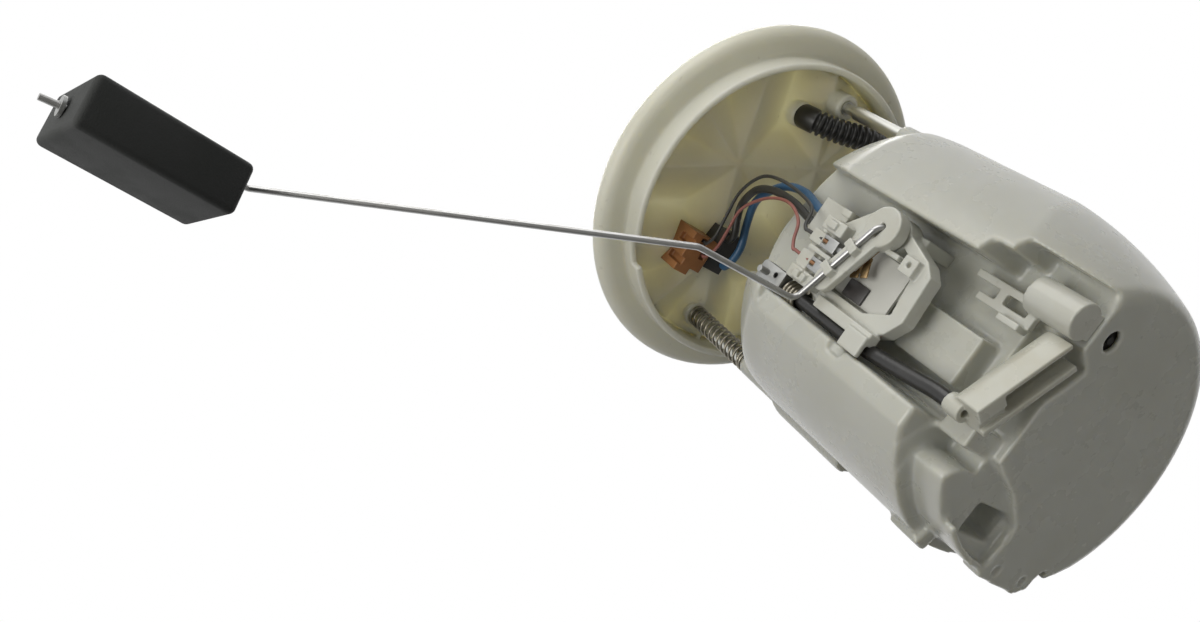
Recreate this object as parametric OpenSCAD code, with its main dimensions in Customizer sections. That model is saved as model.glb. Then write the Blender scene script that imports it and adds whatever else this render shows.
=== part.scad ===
// In-tank fuel pump module. It hangs by its flange: +Z points up out of the tank,
// -Y is the side that carries the level sender, and the origin is the centre of the
// flange's seat face on the tank.

/* [Flange] */
// Diameter of the flange rim
flange_d = 148; // [144:1:154]
// Height of the flange rim
rim_h = 10; // [9:0.5:12]
// Diameter of the spigot that plugs into the tank neck
spigot_d = 126.4; // [124:0.2:128]
// Depth of the spigot below the seat face
spigot_h = 9.8; // [8:0.2:14]
// Wall of the spigot
spigot_wall = 2.6; // [2:0.1:3.2]
// Thickness of the flange deck
deck_t = 3.2; // [2.4:0.1:4]
// Height that the ribs stand below the deck
rib_drop = 6; // [4:0.5:7]
// Thickness of the ribs
rib_t = 1.6; // [1.2:0.1:2.2]
// Radius of the circle of rib hubs
hub_ring_r = 27; // [25:0.5:29]
// Azimuth of the first rib hub
hub_turn = -68; // [-72:1:-64]

/* [Outlet and socket] */
// Outside diameter of the outlet nipple
nipple_d = 7.9; // [7.7:0.05:8]
// Bore of the outlet pipe
nipple_bore = 4.6; // [4:0.1:5]
// Length of the outlet nipple
nipple_len = 24; // [20:0.5:28]
// Inside length of the power socket
socket_l = 24; // [22:0.5:26]
// Inside width of the power socket
socket_w = 11; // [10:0.5:13]
// Height of the power socket above the deck
socket_h = 17; // [15:0.5:20]
// Wall of the power socket
socket_wall = 1.8; // [1.4:0.1:2.2]

/* [Slide] */
// Distance of each guide rod from the centre
rod_x = 51; // [50.6:0.1:51.2]
// Diameter of the guide rods
rod_d = 5.5; // [5:0.1:5.8]
// Travel of the reservoir on the rods
slide_travel = 20; // [15:1:22]
// Length of the guide tubes in the reservoir
guide_len = 36; // [30:1:40]
// Wire diameter of the spring
spring_wire = 1; // [0.8:0.05:1.1]
// Outside diameter of the spring
spring_d = 8.6; // [8.4:0.1:9]
// Turns of the spring
spring_turns = 15; // [12:1:16]

/* [Reservoir] */
// Height of the reservoir's top face
res_top = -44; // [-46:0.5:-42]
// Height of the reservoir's lowest face
res_bottom = -172; // [-174:0.5:-171]
// Largest radius of the reservoir
shell_r = 58; // [58:0.2:59]
// Wall of the reservoir
shell_wall = 2.2; // [1.8:0.1:2.4]
// Thickness of the reservoir floor
floor_t = 2.4; // [2:0.1:3]
// Radius of the opening in the reservoir's top
cover_r = 45; // [44:0.2:45.4]
// Thickness of the cover
cover_t = 2.4; // [2:0.1:3]

/* [Sender channel] */
// Left wall of the channel
ch_left = -17; // [-17.5:0.1:-16.8]
// Right wall of the channel
ch_right = 27; // [26.8:0.1:27.6]
// Back wall of the channel
ch_back = -28; // [-28.4:0.1:-27.6]
// Front facet of the block on the left of the channel
facet_y = -50; // [-51:0.2:-49.5]
// Turn of the jet pump and of the floor's front edge
jet_turn = 30; // [29:0.5:31]

/* [Pump and filter] */
// Depth of the pump axis behind the centre
pump_y = 10; // [9.8:0.1:10.4]
// Outside radius of the pump casing
pump_r = 19; // [18.6:0.1:19.2]
// Thickness of the pump casing
casing_t = 1.2; // [1:0.1:1.4]
// Outside radius of the filter case
filter_r = 34; // [33:0.2:34.4]
// Inside radius of the filter case
filter_bore = 22; // [21.6:0.1:22.4]
// Wall of the filter case
filter_wall = 2; // [1.6:0.1:2.2]
// Radius of the armature
armature_r = 12.6; // [12:0.1:12.8]
// Radius of the pump shaft
shaft_r = 1.6; // [1.4:0.05:1.8]
// Radius of the impeller
impeller_r = 15; // [14:0.2:15.4]
// Blades of the impeller
impeller_blades = 24; // [18:1:30]
// Radius of the pressure regulator
regulator_r = 9; // [8.4:0.1:9.2]

/* [Level sender] */
// Pivot of the float arm to the right of the centre
pivot_x = 19; // [18.8:0.1:19.4]
// Height of the float arm's pivot
pivot_z = -110; // [-110.5:0.1:-109.5]
// Radius of the float arm's bearing pin
pivot_r = 2.5; // [2.2:0.1:2.8]
// Diameter of the float arm wire
arm_d = 2; // [1.8:0.1:2.2]
// Length of the float
float_l = 46; // [42:0.5:48]
// Width of the float
float_w = 31.4; // [30:0.2:34]
// Thickness of the float
float_t = 16; // [15:0.2:18]

/* [Hidden] */

$fn = 64;
eps = 0.01;
// Clearance of parts that are pressed or snapped into each other
fit = 0.1;
// Running clearance of bearings
run = 0.05;
// Clearance of the rods in their guides
slide_gap = 0.15;

WHITE = [0.78, 0.78, 0.74];
MILKY = [0.76, 0.74, 0.66];
YELLOWED = [0.72, 0.69, 0.53];
STEEL = [0.62, 0.62, 0.6];
DARK = [0.12, 0.12, 0.12];
RUBBER = [0.08, 0.08, 0.08];

flange_r = flange_d / 2;
rim_round = rim_h / 2;
spigot_r = spigot_d / 2;
deck_top = rim_h - 2;
deck_z = deck_top - deck_t;
rib_z = deck_z - rib_drop;
skirt_in_r = spigot_r - spigot_wall;
hub_count = 4;
spoke_count = 12;

rod_r = rod_d / 2;
spring_r = spring_d / 2;
boss_r = rod_r + 2.4;
spring_top_z = -1;
rod_boss_z = -8;
rod_neck_z = -14;
collar_h = 2;
collar_top = res_top + collar_h;
clip_t = 1.2;
clip_r = rod_r + 1.5;
guide_end_z = res_top - guide_len;
clip_z = guide_end_z - 0.3;
rod_end_z = clip_z - clip_t - 2;

// Barrel section of the reservoir
low_arc_r = 110;
low_arc_z = -124;
top_arc_r = 96;
top_arc_z = -80;
floor_z = res_bottom + floor_t;
shoulder_r = 14;
foot_r = 7;
taper_x = -4.5;
taper_y = 3;

// Steps at the right of the channel
step_1_z = -144;
step_1_x = ch_right + 5;
step_2_z = -156;
step_2_x = ch_right + 10;
// Where the floor's front edge meets the channel's back, and the height of its roof
edge_x = 15;
edge_y = -21;
edge_top = -155;
facet_top = -80;
block_low_z = -159;

filter_top = -66;
filter_low = -150;
filter_shelf = 2;
pump_low = filter_low + filter_shelf;
casing_top = -84;
inner_r = pump_r - casing_t - fit;
plate_low = -139.6;
outlet_x = 8;
outlet_r = 4.2;
outlet_top = -67.5;
valve_seat_z = -83;
valve_r = 2.3;
valve_len = 5;
feed_x = 24;
feed_y = 26;
feed_top = -40;
reg_x = 40;
reg_y = -18;
reg_low = -140;
reg_top = -112;

frame_front = -47;
frame_back = -41;
web_t = 1.6;
card_t = 1;
arm_plane = -54.5;
arm_back = -50.6;
arm_bend_r = 3;
card_front = frame_back - web_t - card_t;
arm_turn = 20;
holder_front = -53.4;
holder_back = -48.4;
corner_x = -14;
corner_z = -98;
bend_y = -98;
hose_x = -14;
hose_y = -45.5;
hose_r = 2.4;
port_z = -70.5;
inlet_x = 26;
inlet_y = -20;
jet_r = 5.2;
jet_len = 32;
jet_x = -10.5;
jet_y = -45.5;
jet_z = -166;

// Routes of the hoses and wires, chosen by hand
FEED_HOSE = [[39.5, -11, -1.3], [39.5, -11, -2.3], [39.5, -11, -3.8], [40, -8.5, -7.5],
    [41, -3.5, -11], [43.2, 4, -15], [45.5, 11, -18], [46.5, 18, -20], [45, 25, -22],
    [39, 30, -25], [31, 30, -29], [25.5, 27.5, -33.5], [24, 26, -37], [24, 26, -38.5],
    [24, 26, -39.7]];
JET_HOSE = [[-14, -45.5, -74.3], [-14, -45.5, -84], [-14, -45.5, -100],
    [-14, -45.5, -116], [-13.4, -45.5, -128], [-12, -45.5, -142], [-10.7, -45.5, -153],
    [-10.5, -45.5, -157], [-10.5, -45.5, -159.5]];
WIRE_THIN_BLACK = [[-22, -25, -8.3], [-22, -25, -9.8], [-22, -25, -11.2], [-17, -26, -14.5],
    [-8.5, -27, -14.5], [2, -29, -16],
    [11, -32, -25], [14, -35, -38], [14, -38, -54], [12, -42, -68], [7, -46.8, -75],
    [5.5, -47.8, -77.5], [5.5, -47.8, -78.6], [5.5, -47.8, -79.7]];
WIRE_PINK = [[-27, -22, -8.3], [-27, -22, -9.8], [-27, -22, -11.2], [-24, -23.5, -15],
    [-19.5, -25, -18], [-12.5, -27, -20],
    [-3.5, -29, -22], [3.4, -31, -30], [7.8, -34, -41], [9, -38, -54],
    [6, -42, -66], [0.5, -46.5, -74], [-2, -47.8, -77.5], [-2, -47.8, -78.6],
    [-2, -47.8, -79.7]];
WIRE_BLACK = [[-16.5, -16, -9.3], [-16.5, -16, -10.3], [-16.2, -16.2, -11.4], [-13, -18.4, -14.4],
    [-8, -20.6, -13.6], [-1.5, -22.5, -13],
    [6, -26, -20], [9.5, -29.5, -33], [10, -32, -48], [8.6, -34, -60], [8, -34.5, -64.5],
    [8, -34.5, -66], [8, -34.5, -67.7]];
WIRE_BLUE = [[-26.5, -10.5, -9.3], [-26.5, -10.5, -10.3], [-26.2, -10.6, -11.4],
    [-22.5, -12, -14.6], [-16, -12.4, -14.8], [-7.5, -14.8, -13],
    [2, -19, -15], [9.5, -22.5, -24], [13.5, -26, -34], [15, -29.5, -47],
    [13.6, -33.6, -60], [13, -34.5, -64.5], [13, -34.5, -66], [13, -34.5, -67.7]];

// Catmull-Rom point between b and c
function between(a, b, c, d, t) = 0.5 * (2 * b + (c - a) * t
    + (2 * a - 5 * b + 4 * c - d) * t * t + (3 * b - a - 3 * c + d) * t * t * t);
function route(p, steps) = [for (i = [0:len(p) - 2]) for (k = [0:steps - 1])
    between(p[max(i - 1, 0)], p[i], p[i + 1], p[min(i + 2, len(p) - 1)], k / steps),
    p[len(p) - 1]];
function unit(v) = v / norm(v);
function tangents(p) = [for (i = [0:len(p) - 1])
    unit(p[min(i + 1, len(p) - 1)] - p[max(i - 1, 0)])];
function across(v, t) = unit(v - (v * t) * t);
function carried(t, v) = [for (i = 0, u = across(v, t[0]); i < len(t);
    i = i + 1, u = i < len(t) ? across(u, t[i]) : u) u];

// Closed tube of radius r along the points p
module tube(p, r, sides = 8, side_on = [1, 0, 0]) {
    t = tangents(p);
    u = carried(t, side_on);
    n = len(p);
    points = [for (i = [0:n - 1]) for (k = [0:sides - 1])
        p[i] + r * cos(360 * k / sides) * u[i] + r * sin(360 * k / sides) * cross(t[i], u[i])];
    walls = [for (i = [0:n - 2]) for (k = [0:sides - 1])
        [i * sides + k, (i + 1) * sides + k, (i + 1) * sides + (k + 1) % sides,
         i * sides + (k + 1) % sides]];
    ends = [[for (k = [0:sides - 1]) k],
        [for (k = [sides - 1:-1:0]) (n - 1) * sides + k]];
    polyhedron(points, concat(walls, ends), convexity = 6);
}

// Round bar from a to b
module bar(a, b, r) {
    d = b - a;
    translate(a) rotate([0, acos(d[2] / norm(d)), atan2(d[1], d[0])]) cylinder(r = r, h = norm(d));
}

// Ring round the Z axis
module ring(outer, inner, h) {
    difference() {
        cylinder(r = outer, h = h);
        translate([0, 0, -1]) cylinder(r = inner, h = h + 2);
    }
}

// Box from its low corner to its high corner
module block(low, high) {
    translate(low) cube(high - low);
}

// Plate in the X-Z plane between two depths
module upright(y_low, y_high) {
    translate([0, y_high, 0]) rotate([90, 0, 0]) linear_extrude(y_high - y_low) children();
}

// Half section of the barrel's shoulder and straight side, moved in by inset
module shoulder_section(inset) {
    high = res_top - inset;
    difference() {
        union() {
            translate([0, res_bottom - 1]) square([shell_r - inset, top_arc_z - res_bottom + 1]);
            intersection() {
                translate([shell_r - top_arc_r, top_arc_z]) circle(r = top_arc_r - inset, $fn = 180);
                translate([0, top_arc_z]) square([shell_r, high - top_arc_z]);
            }
        }
        translate([shell_r - 5.4 - shoulder_r, high - shoulder_r]) difference() {
            square([shoulder_r + 20, shoulder_r + 1]);
            circle(r = shoulder_r - inset / 2);
        }
    }
}

// Half section of the taper towards the foot
module taper_section(inset) {
    low = res_bottom + (inset > 0 ? floor_t : 0);
    wide = shell_r + norm([taper_x, taper_y]);
    difference() {
        union() {
            intersection() {
                translate([wide - low_arc_r, low_arc_z]) circle(r = low_arc_r - inset, $fn = 180);
                translate([0, low]) square([wide, low_arc_z - low]);
            }
            translate([0, low_arc_z]) square([wide - inset, res_top - low_arc_z]);
        }
        translate([wide - 10.6 - foot_r - inset, low]) difference() {
            translate([0, -1]) square([foot_r + 20, foot_r + 1]);
            translate([0, foot_r]) circle(r = foot_r);
            translate([-1, foot_r]) square(foot_r);
        }
    }
}

// Outside of the reservoir: its foot tapers more at the front and right
module barrel(inset) {
    intersection() {
        rotate_extrude() shoulder_section(inset);
        translate([taper_x, taper_y, 0]) rotate_extrude() taper_section(inset);
    }
}

// The recess down the front, grown by the wall where the inside is cut
module channel(grow) {
    high = 200;
    block([ch_left - grow, -90, res_bottom - 20], [ch_right + grow, ch_back + grow, high]);
    block([0, -90, res_bottom - 20], [step_1_x + grow, ch_back + grow, step_1_z + grow]);
    block([0, -90, res_bottom - 20], [step_2_x + grow, ch_back + grow, step_2_z + grow]);
    translate([edge_x, edge_y, res_bottom - 20]) rotate([0, 0, jet_turn])
        block([-70, -60, 0], [0.5 + grow, grow, edge_top - res_bottom + 20 + grow]);
    block([-60, -90, res_bottom - 20], [0, facet_y + grow, facet_top + grow]);
    translate([-50, 0, block_low_z]) rotate([0, 35, 0])
        block([-30, -90, -60], [40, 60, -6 + grow]);
}

module flange_plate() color(MILKY) {
    difference() {
        union() {
            rotate_extrude($fn = 128) {
                translate([skirt_in_r, 0]) square([flange_r - rim_round - skirt_in_r, rim_h]);
                translate([flange_r - rim_round, rim_round]) circle(r = rim_round, $fn = 48);
            }
            translate([0, 0, -spigot_h]) cylinder(r = spigot_r, h = spigot_h + 1, $fn = 128);
            translate([0, 0, deck_z]) cylinder(r = spigot_r, h = deck_t);
        }
        translate([0, 0, -spigot_h - 1])
            cylinder(r = skirt_in_r, h = spigot_h + 1 + deck_z, $fn = 128);
        translate([0, 0, deck_top]) cylinder(r = skirt_in_r + 1, h = rim_h, $fn = 128);
        rotate([0, 0, hub_turn - 60]) block([skirt_in_r - 4, -6, -spigot_h - 1],
            [spigot_r + 1, 6, -spigot_h + 4.5]);
        for (side = [-1, 1]) translate([side * rod_x, 0, rib_z - 20]) cylinder(r = rod_r + fit,
            h = 20 - rib_z + deck_z + 1.6);
        translate([feed_port_x, feed_port_y, deck_z - 1]) cylinder(r = nipple_bore / 2, h = deck_t + 2);
        pin_slots();
    }
    difference() {
        flange_ribs();
        for (side = [-1, 1]) translate([side * rod_x, 0, -40]) cylinder(r = rod_r + fit, h = 50);
        connector_space(fit);
        translate([feed_port_x, feed_port_y, -20]) cylinder(r = nipple_bore / 2, h = 40);
    }
    translate([-rod_x, 0, spring_top_z]) ring(boss_r, rod_r + fit, deck_z - spring_top_z);
    translate([rod_x, 0, rod_boss_z]) ring(boss_r, rod_r + fit, deck_z - rod_boss_z);
    translate([feed_port_x, feed_port_y, spring_top_z]) ring(boss_r, nipple_bore / 2, deck_z - spring_top_z);
}

feed_port_x = 39.5;
feed_port_y = -11;

// Space that the two connectors take under the deck
module connector_space(gap) {
    block([-37 - gap, -31 - gap, -60], [-20 + gap, -19 + gap, 50]);
    block([-31 - gap, -18 - gap, -60], [-14 + gap, -7 + gap, 50]);
}

module rib(a, b) {
    d = b - a;
    translate([a[0], a[1], rib_z]) rotate([0, 0, atan2(d[1], d[0])])
        translate([0, -rib_t / 2, 0]) cube([norm(d), rib_t, rib_drop + eps]);
}

// Triangles of ribs: hubs joined to their neighbours and to three points of the skirt
module flange_ribs() {
    hub = [for (k = [0:hub_count - 1]) hub_ring_r * [cos(hub_turn + 90 * k), sin(hub_turn + 90 * k)]];
    spoke = [for (k = [0:spoke_count - 1])
        (skirt_in_r + 0.5) * [cos(hub_turn + 30 * k), sin(hub_turn + 30 * k)]];
    for (k = [0:hub_count - 1]) {
        rib(hub[k], hub[(k + 1) % hub_count]);
        for (j = [-1:1]) rib(hub[k], spoke[(3 * k + j + spoke_count) % spoke_count]);
    }
    intersection() {
        for (k = [0:hub_count - 1])
            translate([hub[k][0], hub[k][1], rib_z]) cylinder(r = rib_t, h = rib_drop + eps);
        translate([0, 0, rib_z]) cylinder(r = skirt_in_r, h = 60);
    }
}

pipe_x = 20;
pipe_y = 12;
pipe_z = deck_top + 9;
// Outlet elbow on top of the deck, with the nipple for the car's fuel line
module outlet_pipe() color(MILKY) difference() {
    union() {
        translate([pipe_x, pipe_y, deck_top]) cylinder(r = 7, h = 13);
        translate([pipe_x, pipe_y, deck_top + 13]) sphere(r = 4);
        translate([pipe_x, pipe_y, pipe_z]) rotate([0, 90, 0])
            cylinder(r = nipple_d / 2, h = nipple_len + 8);
        translate([pipe_x + 13, pipe_y, pipe_z]) rotate([0, 90, 0]) cylinder(r = nipple_d / 2 + 1, h = 2);
        translate([pipe_x, pipe_y - 1.5, deck_top]) cube([12, 3, 9]);
    }
    translate([pipe_x, pipe_y, pipe_z]) rotate([0, 90, 0]) cylinder(r = nipple_bore / 2, h = nipple_len + 20);
    translate([pipe_x, pipe_y, deck_top + 2]) cylinder(r = nipple_bore / 2, h = 7);
}

sock_x = -24;
sock_y = -4;
// Oval power socket on top of the deck
module power_socket() color(DARK) {
    translate([sock_x, sock_y, deck_top]) difference() {
        union() {
            oval(socket_l + 2 * socket_wall, socket_w + 2 * socket_wall, socket_h);
            oval(socket_l + 9, socket_w + 9, 2.5);
            translate([-3, -socket_w / 2 - socket_wall - 1.4, 0]) cube([6, 2, 9]);
        }
        translate([0, 0, 4]) oval(socket_l, socket_w, socket_h);
        for (k = [-1.5:1.5]) translate([k * 5 - 1.3, -0.5, -1]) cube([2.6, 1, 8]);
    }
}

module oval(l, w, h) {
    translate([-(l - w) / 2, -w / 2, 0]) cube([l - w, w, h]);
    for (side = [-1, 1]) translate([side * (l - w) / 2, 0, 0]) cylinder(d = w, h = h);
}

module pin_slots() {
    translate([sock_x, sock_y, deck_z - 1]) for (k = [-1.5:1.5])
        translate([k * 5 - 1.3, -0.5, 0]) cube([2.6, 1, deck_t + 2]);
}

module socket_pins() color(STEEL) translate([sock_x, sock_y, deck_z]) for (k = [-1.5:1.5])
    translate([k * 5 - 1.2, -0.4, 0]) cube([2.4, 0.8, deck_t + 12]);

module guide_rod() {
    translate([0, 0, rod_end_z]) cylinder(r = rod_r, h = rod_neck_z - rod_end_z);
    translate([0, 0, rod_neck_z]) cylinder(r = rod_r - 0.7, h = rod_boss_z - rod_neck_z);
    translate([0, 0, rod_boss_z]) cylinder(r = rod_r, h = deck_z + 1.5 - rod_boss_z);
}

// Rods stop in blind holes of the deck and end below the guides
module guide_rod_left() color(STEEL) translate([-rod_x, 0, 0]) difference() {
    guide_rod();
    clip_groove();
}
module guide_rod_right() color(STEEL) translate([rod_x, 0, 0]) difference() {
    guide_rod();
    clip_groove();
}
module clip_groove() {
    translate([0, 0, clip_z - clip_t - fit]) ring(rod_r + 1, rod_r - 0.6, clip_t + 2 * fit);
}
module rod_clip() {
    translate([0, 0, clip_z - clip_t]) difference() {
        ring(clip_r, rod_r - 0.6 + fit, clip_t);
        translate([-1.6, 0, -1]) cube([3.2, 10, clip_t + 2]);
    }
}
module rod_clip_left() color(STEEL) translate([-rod_x, 0, 0]) rotate([0, 0, -90]) rod_clip();
module rod_clip_right() color(STEEL) translate([rod_x, 0, 0]) rotate([0, 0, 90]) rod_clip();

// Helix with closed ends round the left rod
module guide_spring() color([0.35, 0.34, 0.3]) {
    steps = 14;
    low = collar_top + spring_wire / 2;
    high = spring_top_z - spring_wire / 2;
    lift = high - low;
    mid_r = spring_r - spring_wire / 2;
    turn_points = [for (i = [0:spring_turns * steps])
        let (a = 360 * i / steps, s = i / (spring_turns * steps),
            e = 1.4 / spring_turns,
            rise = s < e ? 0.25 * s : s > 1 - e ? 1 - 0.25 * (1 - s)
                : 0.25 * e + (s - e) * (1 - 0.5 * e) / (1 - 2 * e))
        [-rod_x + mid_r * cos(a), mid_r * sin(a), low + lift * rise]];
    tube(turn_points, spring_wire / 2, 6, [0, 0, 1]);
}

module feed_hose() color(RUBBER) tube(route(FEED_HOSE, 3), 4.4, 12, [0, 1, 0]);

// Orange-brown housing of the sender's plug, latched under the deck
module sender_connector() color([0.6, 0.36, 0.2]) difference() {
    union() {
        block([-37, -31, -10], [-20, -19, deck_z]);
    }
    block([-34, -32, -11], [-31, -29, -2]);
    block([-26, -32, -11], [-23, -29, -2]);
    block([-38, -24, -11], [-34, -18, 0]);
    block([-24.5, -26.5, -11], [-20.8, -23.5, -8]);
    block([-29, -23.4, -11], [-25, -20.6, -8]);
}

// Black housing of the pump's plug beside it
module pump_connector() color(DARK) difference() {
    block([-31, -18, -9], [-14, -7, deck_z]);
    block([-23.5, -19, -10], [-20.5, -16, -1]);
    block([-32, -9, -10], [-27.5, -6, -1]);
}

module wire_blue() color([0.16, 0.33, 0.52]) tube(route(WIRE_BLUE, 2), 1.6, 8, [0, 1, 0]);
module wire_black() color(DARK) tube(route(WIRE_BLACK, 2), 1.5, 8, [0, 1, 0]);
module wire_thin_black() color(DARK) tube(route(WIRE_THIN_BLACK, 2), 0.8, 8, [0, 1, 0]);
module wire_pink() color([0.62, 0.3, 0.26]) tube(route(WIRE_PINK, 2), 0.8, 8, [0, 1, 0]);

// Moulded sub-tank with the sender's channel down its front
module reservoir_cup() color(WHITE) difference() {
    union() {
        difference() {
            barrel(0);
            channel(0);
            difference() {
                barrel(shell_wall);
                channel(shell_wall);
            }
        }
        intersection() {
            barrel(0);
            union() {
                for (side = [-1, 1]) translate([side * rod_x, 0, guide_end_z])
                    cylinder(r = boss_r + 0.6, h = guide_len);
                for (a = [90, 200, 340]) translate([0, pump_y, floor_z - eps]) rotate([0, 0, a])
                    block([filter_bore + 2, -1, 0], [filter_r - 1, 1, filter_low - floor_z + eps]);
                translate([reg_x, reg_y, floor_z - eps]) cylinder(r = 4.5, h = reg_low - floor_z + eps);
            }
        }
        for (side = [-1, 1]) translate([side * rod_x, 0, res_top - 8]) cylinder(r = boss_r, h = 8 + collar_h);
        block([-8, -36, -150], [8, ch_back + shell_wall, -124]);
        bar([hose_x, ch_back + 1, port_z], [hose_x, hose_y, port_z], 2);
        translate([hose_x, hose_y, port_z]) sphere(r = 2.02);
        translate([hose_x, hose_y, -74]) cylinder(r = 2, h = port_z + 74);
    }
    for (side = [-1, 1]) translate([side * rod_x, 0, guide_end_z - 1])
        cylinder(r = rod_r + slide_gap, h = guide_len + 20);
    translate([0, 0, res_top - 12]) cylinder(r = cover_r + fit, h = 30);
    translate([inlet_x, inlet_y, res_bottom - 1]) cylinder(r = 3, h = 10);
    block([ch_left - 3.2, facet_y - 5, -122.3], [ch_left + 1, facet_y + 1.9, -115.7]);
}

// Cover that closes the top, cut out at the channel
module reservoir_cover() color(WHITE) {
    difference() {
        translate([0, 0, res_top - cover_t]) cylinder(r = cover_r, h = cover_t);
        translate([0, 0, -100]) channel(shell_wall + fit);
        channel(shell_wall + fit);
        translate([feed_x, feed_y, res_top - 20]) cylinder(r = 4.1, h = 40);
    }
    for (a = [60, 180, 300]) translate([0, pump_y, filter_top + 3]) rotate([0, 0, a + 30])
        translate([29, 0, 0]) cylinder(r = 2.5, h = res_top - cover_t - filter_top - 3 + eps);
}

// White socket in the channel that takes the pump's two heavy wires
module harness_socket() color(WHITE) difference() {
    block([4, -39, -82], [18, ch_back, -68]);
    block([6.2, -36.2, -71], [9.8, -32.8, -60]);
    block([11.2, -36.2, -71], [14.8, -32.8, -60]);
}

module filter_case() color(WHITE) translate([0, pump_y, filter_low]) difference() {
    union() {
        ring(filter_r, filter_bore, filter_top - filter_low);
        ring(filter_r, 14, filter_shelf);
    }
    translate([0, 0, filter_wall]) ring(filter_r - filter_wall, filter_bore + filter_wall, 200);
}

// Cap of the filter case, with the pipe up to the feed hose
module filter_cap() color(WHITE) difference() {
    union() {
        translate([0, pump_y, filter_top]) cylinder(r = filter_r, h = 3);
        translate([outlet_x, pump_y, filter_top - 6]) cylinder(r = outlet_r + 2.4, h = 7);
        translate([feed_x, feed_y, filter_top + 1]) cylinder(r = 3.8, h = feed_top - filter_top - 1);
    }
    translate([outlet_x, pump_y, filter_top - 7]) cylinder(r = outlet_r + fit, h = 7);
    translate([feed_x, feed_y, filter_top - 1]) cylinder(r = 2.4, h = 60);
}

// Pleated paper ring
module filter_element() color([0.85, 0.8, 0.62]) translate([0, pump_y, filter_low + filter_wall + fit]) {
    h = filter_top - filter_low - filter_wall - 2 * fit;
    pleats = 36;
    deep = filter_r - filter_wall - fit;
    near = filter_bore + filter_wall + fit;
    difference() {
        linear_extrude(h) polygon([for (i = [0:2 * pleats - 1]) let (a = 180 * i / pleats,
            r = i % 2 == 0 ? deep : deep - 2.4) r * [cos(a), sin(a)]]);
        translate([0, 0, -1]) linear_extrude(h + 2) polygon([for (i = [0:2 * pleats - 1])
            let (a = 180 * i / pleats, r = i % 2 == 0 ? near + 2.4 : near) r * [cos(a), sin(a)]]);
    }
}

module on_pump(z) {
    translate([0, pump_y, z]) children();
}

module pump_casing() color(STEEL) on_pump(pump_low + 0.5)
    ring(pump_r, pump_r - casing_t, casing_top - pump_low - 0.5);

snout_low = -162;
module pump_inlet_cover() color([0.5, 0.5, 0.5]) on_pump(0) difference() {
    union() {
        translate([0, 0, pump_low]) cylinder(r = inner_r, h = 5);
        translate([7, 0, snout_low]) cylinder(r = 4, h = pump_low - snout_low + 1);
        translate([0, 0, pump_low]) cylinder(r = 13.6, h = 1);
    }
    translate([7, 0, snout_low - 1]) cylinder(r = 2.5, h = 30);
    translate([0, 0, pump_low + 1]) cylinder(r = shaft_r + run, h = 10);
}

module pump_chamber_plate() color([0.5, 0.5, 0.5]) on_pump(plate_low) difference() {
    cylinder(r = inner_r, h = 3);
    translate([0, 0, -1]) cylinder(r = shaft_r + run, h = 5);
    translate([0, 11, -1]) cylinder(r = 2, h = 5);
}

module pump_outlet_cover() color(DARK) difference() {
    union() {
        on_pump(-94) cylinder(r = inner_r, h = 11);
        translate([outlet_x, pump_y, -84]) cylinder(r = outlet_r, h = outlet_top + 84);
        for (side = [-1, 1]) translate([-9, pump_y + 7 * side - 0.4, -84]) cube([5, 0.8, 8]);
    }
    on_pump(-95) cylinder(r = shaft_r + run, h = 5.2);
    translate([outlet_x, pump_y, -95]) cylinder(r = 1.6, h = 40);
    translate([outlet_x, pump_y, valve_seat_z]) cylinder(r = valve_r + 0.25, h = 9);
}

module check_valve() color([0.7, 0.5, 0.2]) translate([outlet_x, pump_y, valve_seat_z + 0.02])
    cylinder(r = valve_r, h = valve_len);

module pump_magnets() color([0.2, 0.2, 0.2]) on_pump(-133) for (a = [20, 200])
    rotate([0, 0, a]) rotate_extrude(angle = 140)
        translate([armature_r + 0.6, 0]) square([inner_r - armature_r - 0.6, 34]);

module pump_brushes() color([0.25, 0.22, 0.2]) on_pump(-99.5) for (side = [-1, 1])
    translate([side * 7.7 - 2.5, -2, 0]) cube([5, 4, 5.5]);

module pump_armature() color([0.45, 0.28, 0.16]) on_pump(-131) difference() {
    cylinder(r = armature_r, h = 28);
    translate([0, 0, -1]) cylinder(r = shaft_r + fit, h = 40);
    for (a = [0:45:315]) rotate([0, 0, a]) translate([armature_r - 2.4, -0.8, -1]) cube([4, 1.6, 40]);
}

module pump_shaft() color(STEEL) on_pump(-146.6) cylinder(r = shaft_r, h = 56.4);

module commutator() color([0.7, 0.42, 0.2]) on_pump(-101) ring(5, shaft_r + fit, 6);

module impeller() color([0.15, 0.15, 0.14]) on_pump(-142.8) difference() {
    cylinder(r = impeller_r, h = 3);
    translate([0, 0, -1]) cylinder(r = shaft_r + fit, h = 5);
    for (k = [0:impeller_blades - 1]) rotate([0, 0, 360 * k / impeller_blades])
        translate([impeller_r - 2.2, -0.6, -1]) cube([1.4, 1.2, 5]);
}

module pump_mount_rings() color(RUBBER) for (z = [-146, -93])
    on_pump(z) ring(filter_bore - fit, pump_r + fit, 5);

// Flat filter bag under the pump's inlet
module suction_strainer() color([0.85, 0.84, 0.78]) {
    translate([0, pump_y, floor_z]) {
        translate([-5, 0, 0]) cylinder(r = 15, h = 4.6);
        translate([7, 0, 0]) cylinder(r = 12, h = 4.6);
    }
    translate([7, pump_y, floor_z + 4.5]) ring(6, 4 + fit, snout_low + 4 - floor_z - 4.5);
}

module inlet_valve() color(RUBBER) translate([inlet_x, inlet_y, floor_z]) {
    cylinder(r = 4.4, h = 0.9);
    translate([0, 0, -1.6]) cylinder(r = 1.2, h = 3.2);
}

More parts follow.
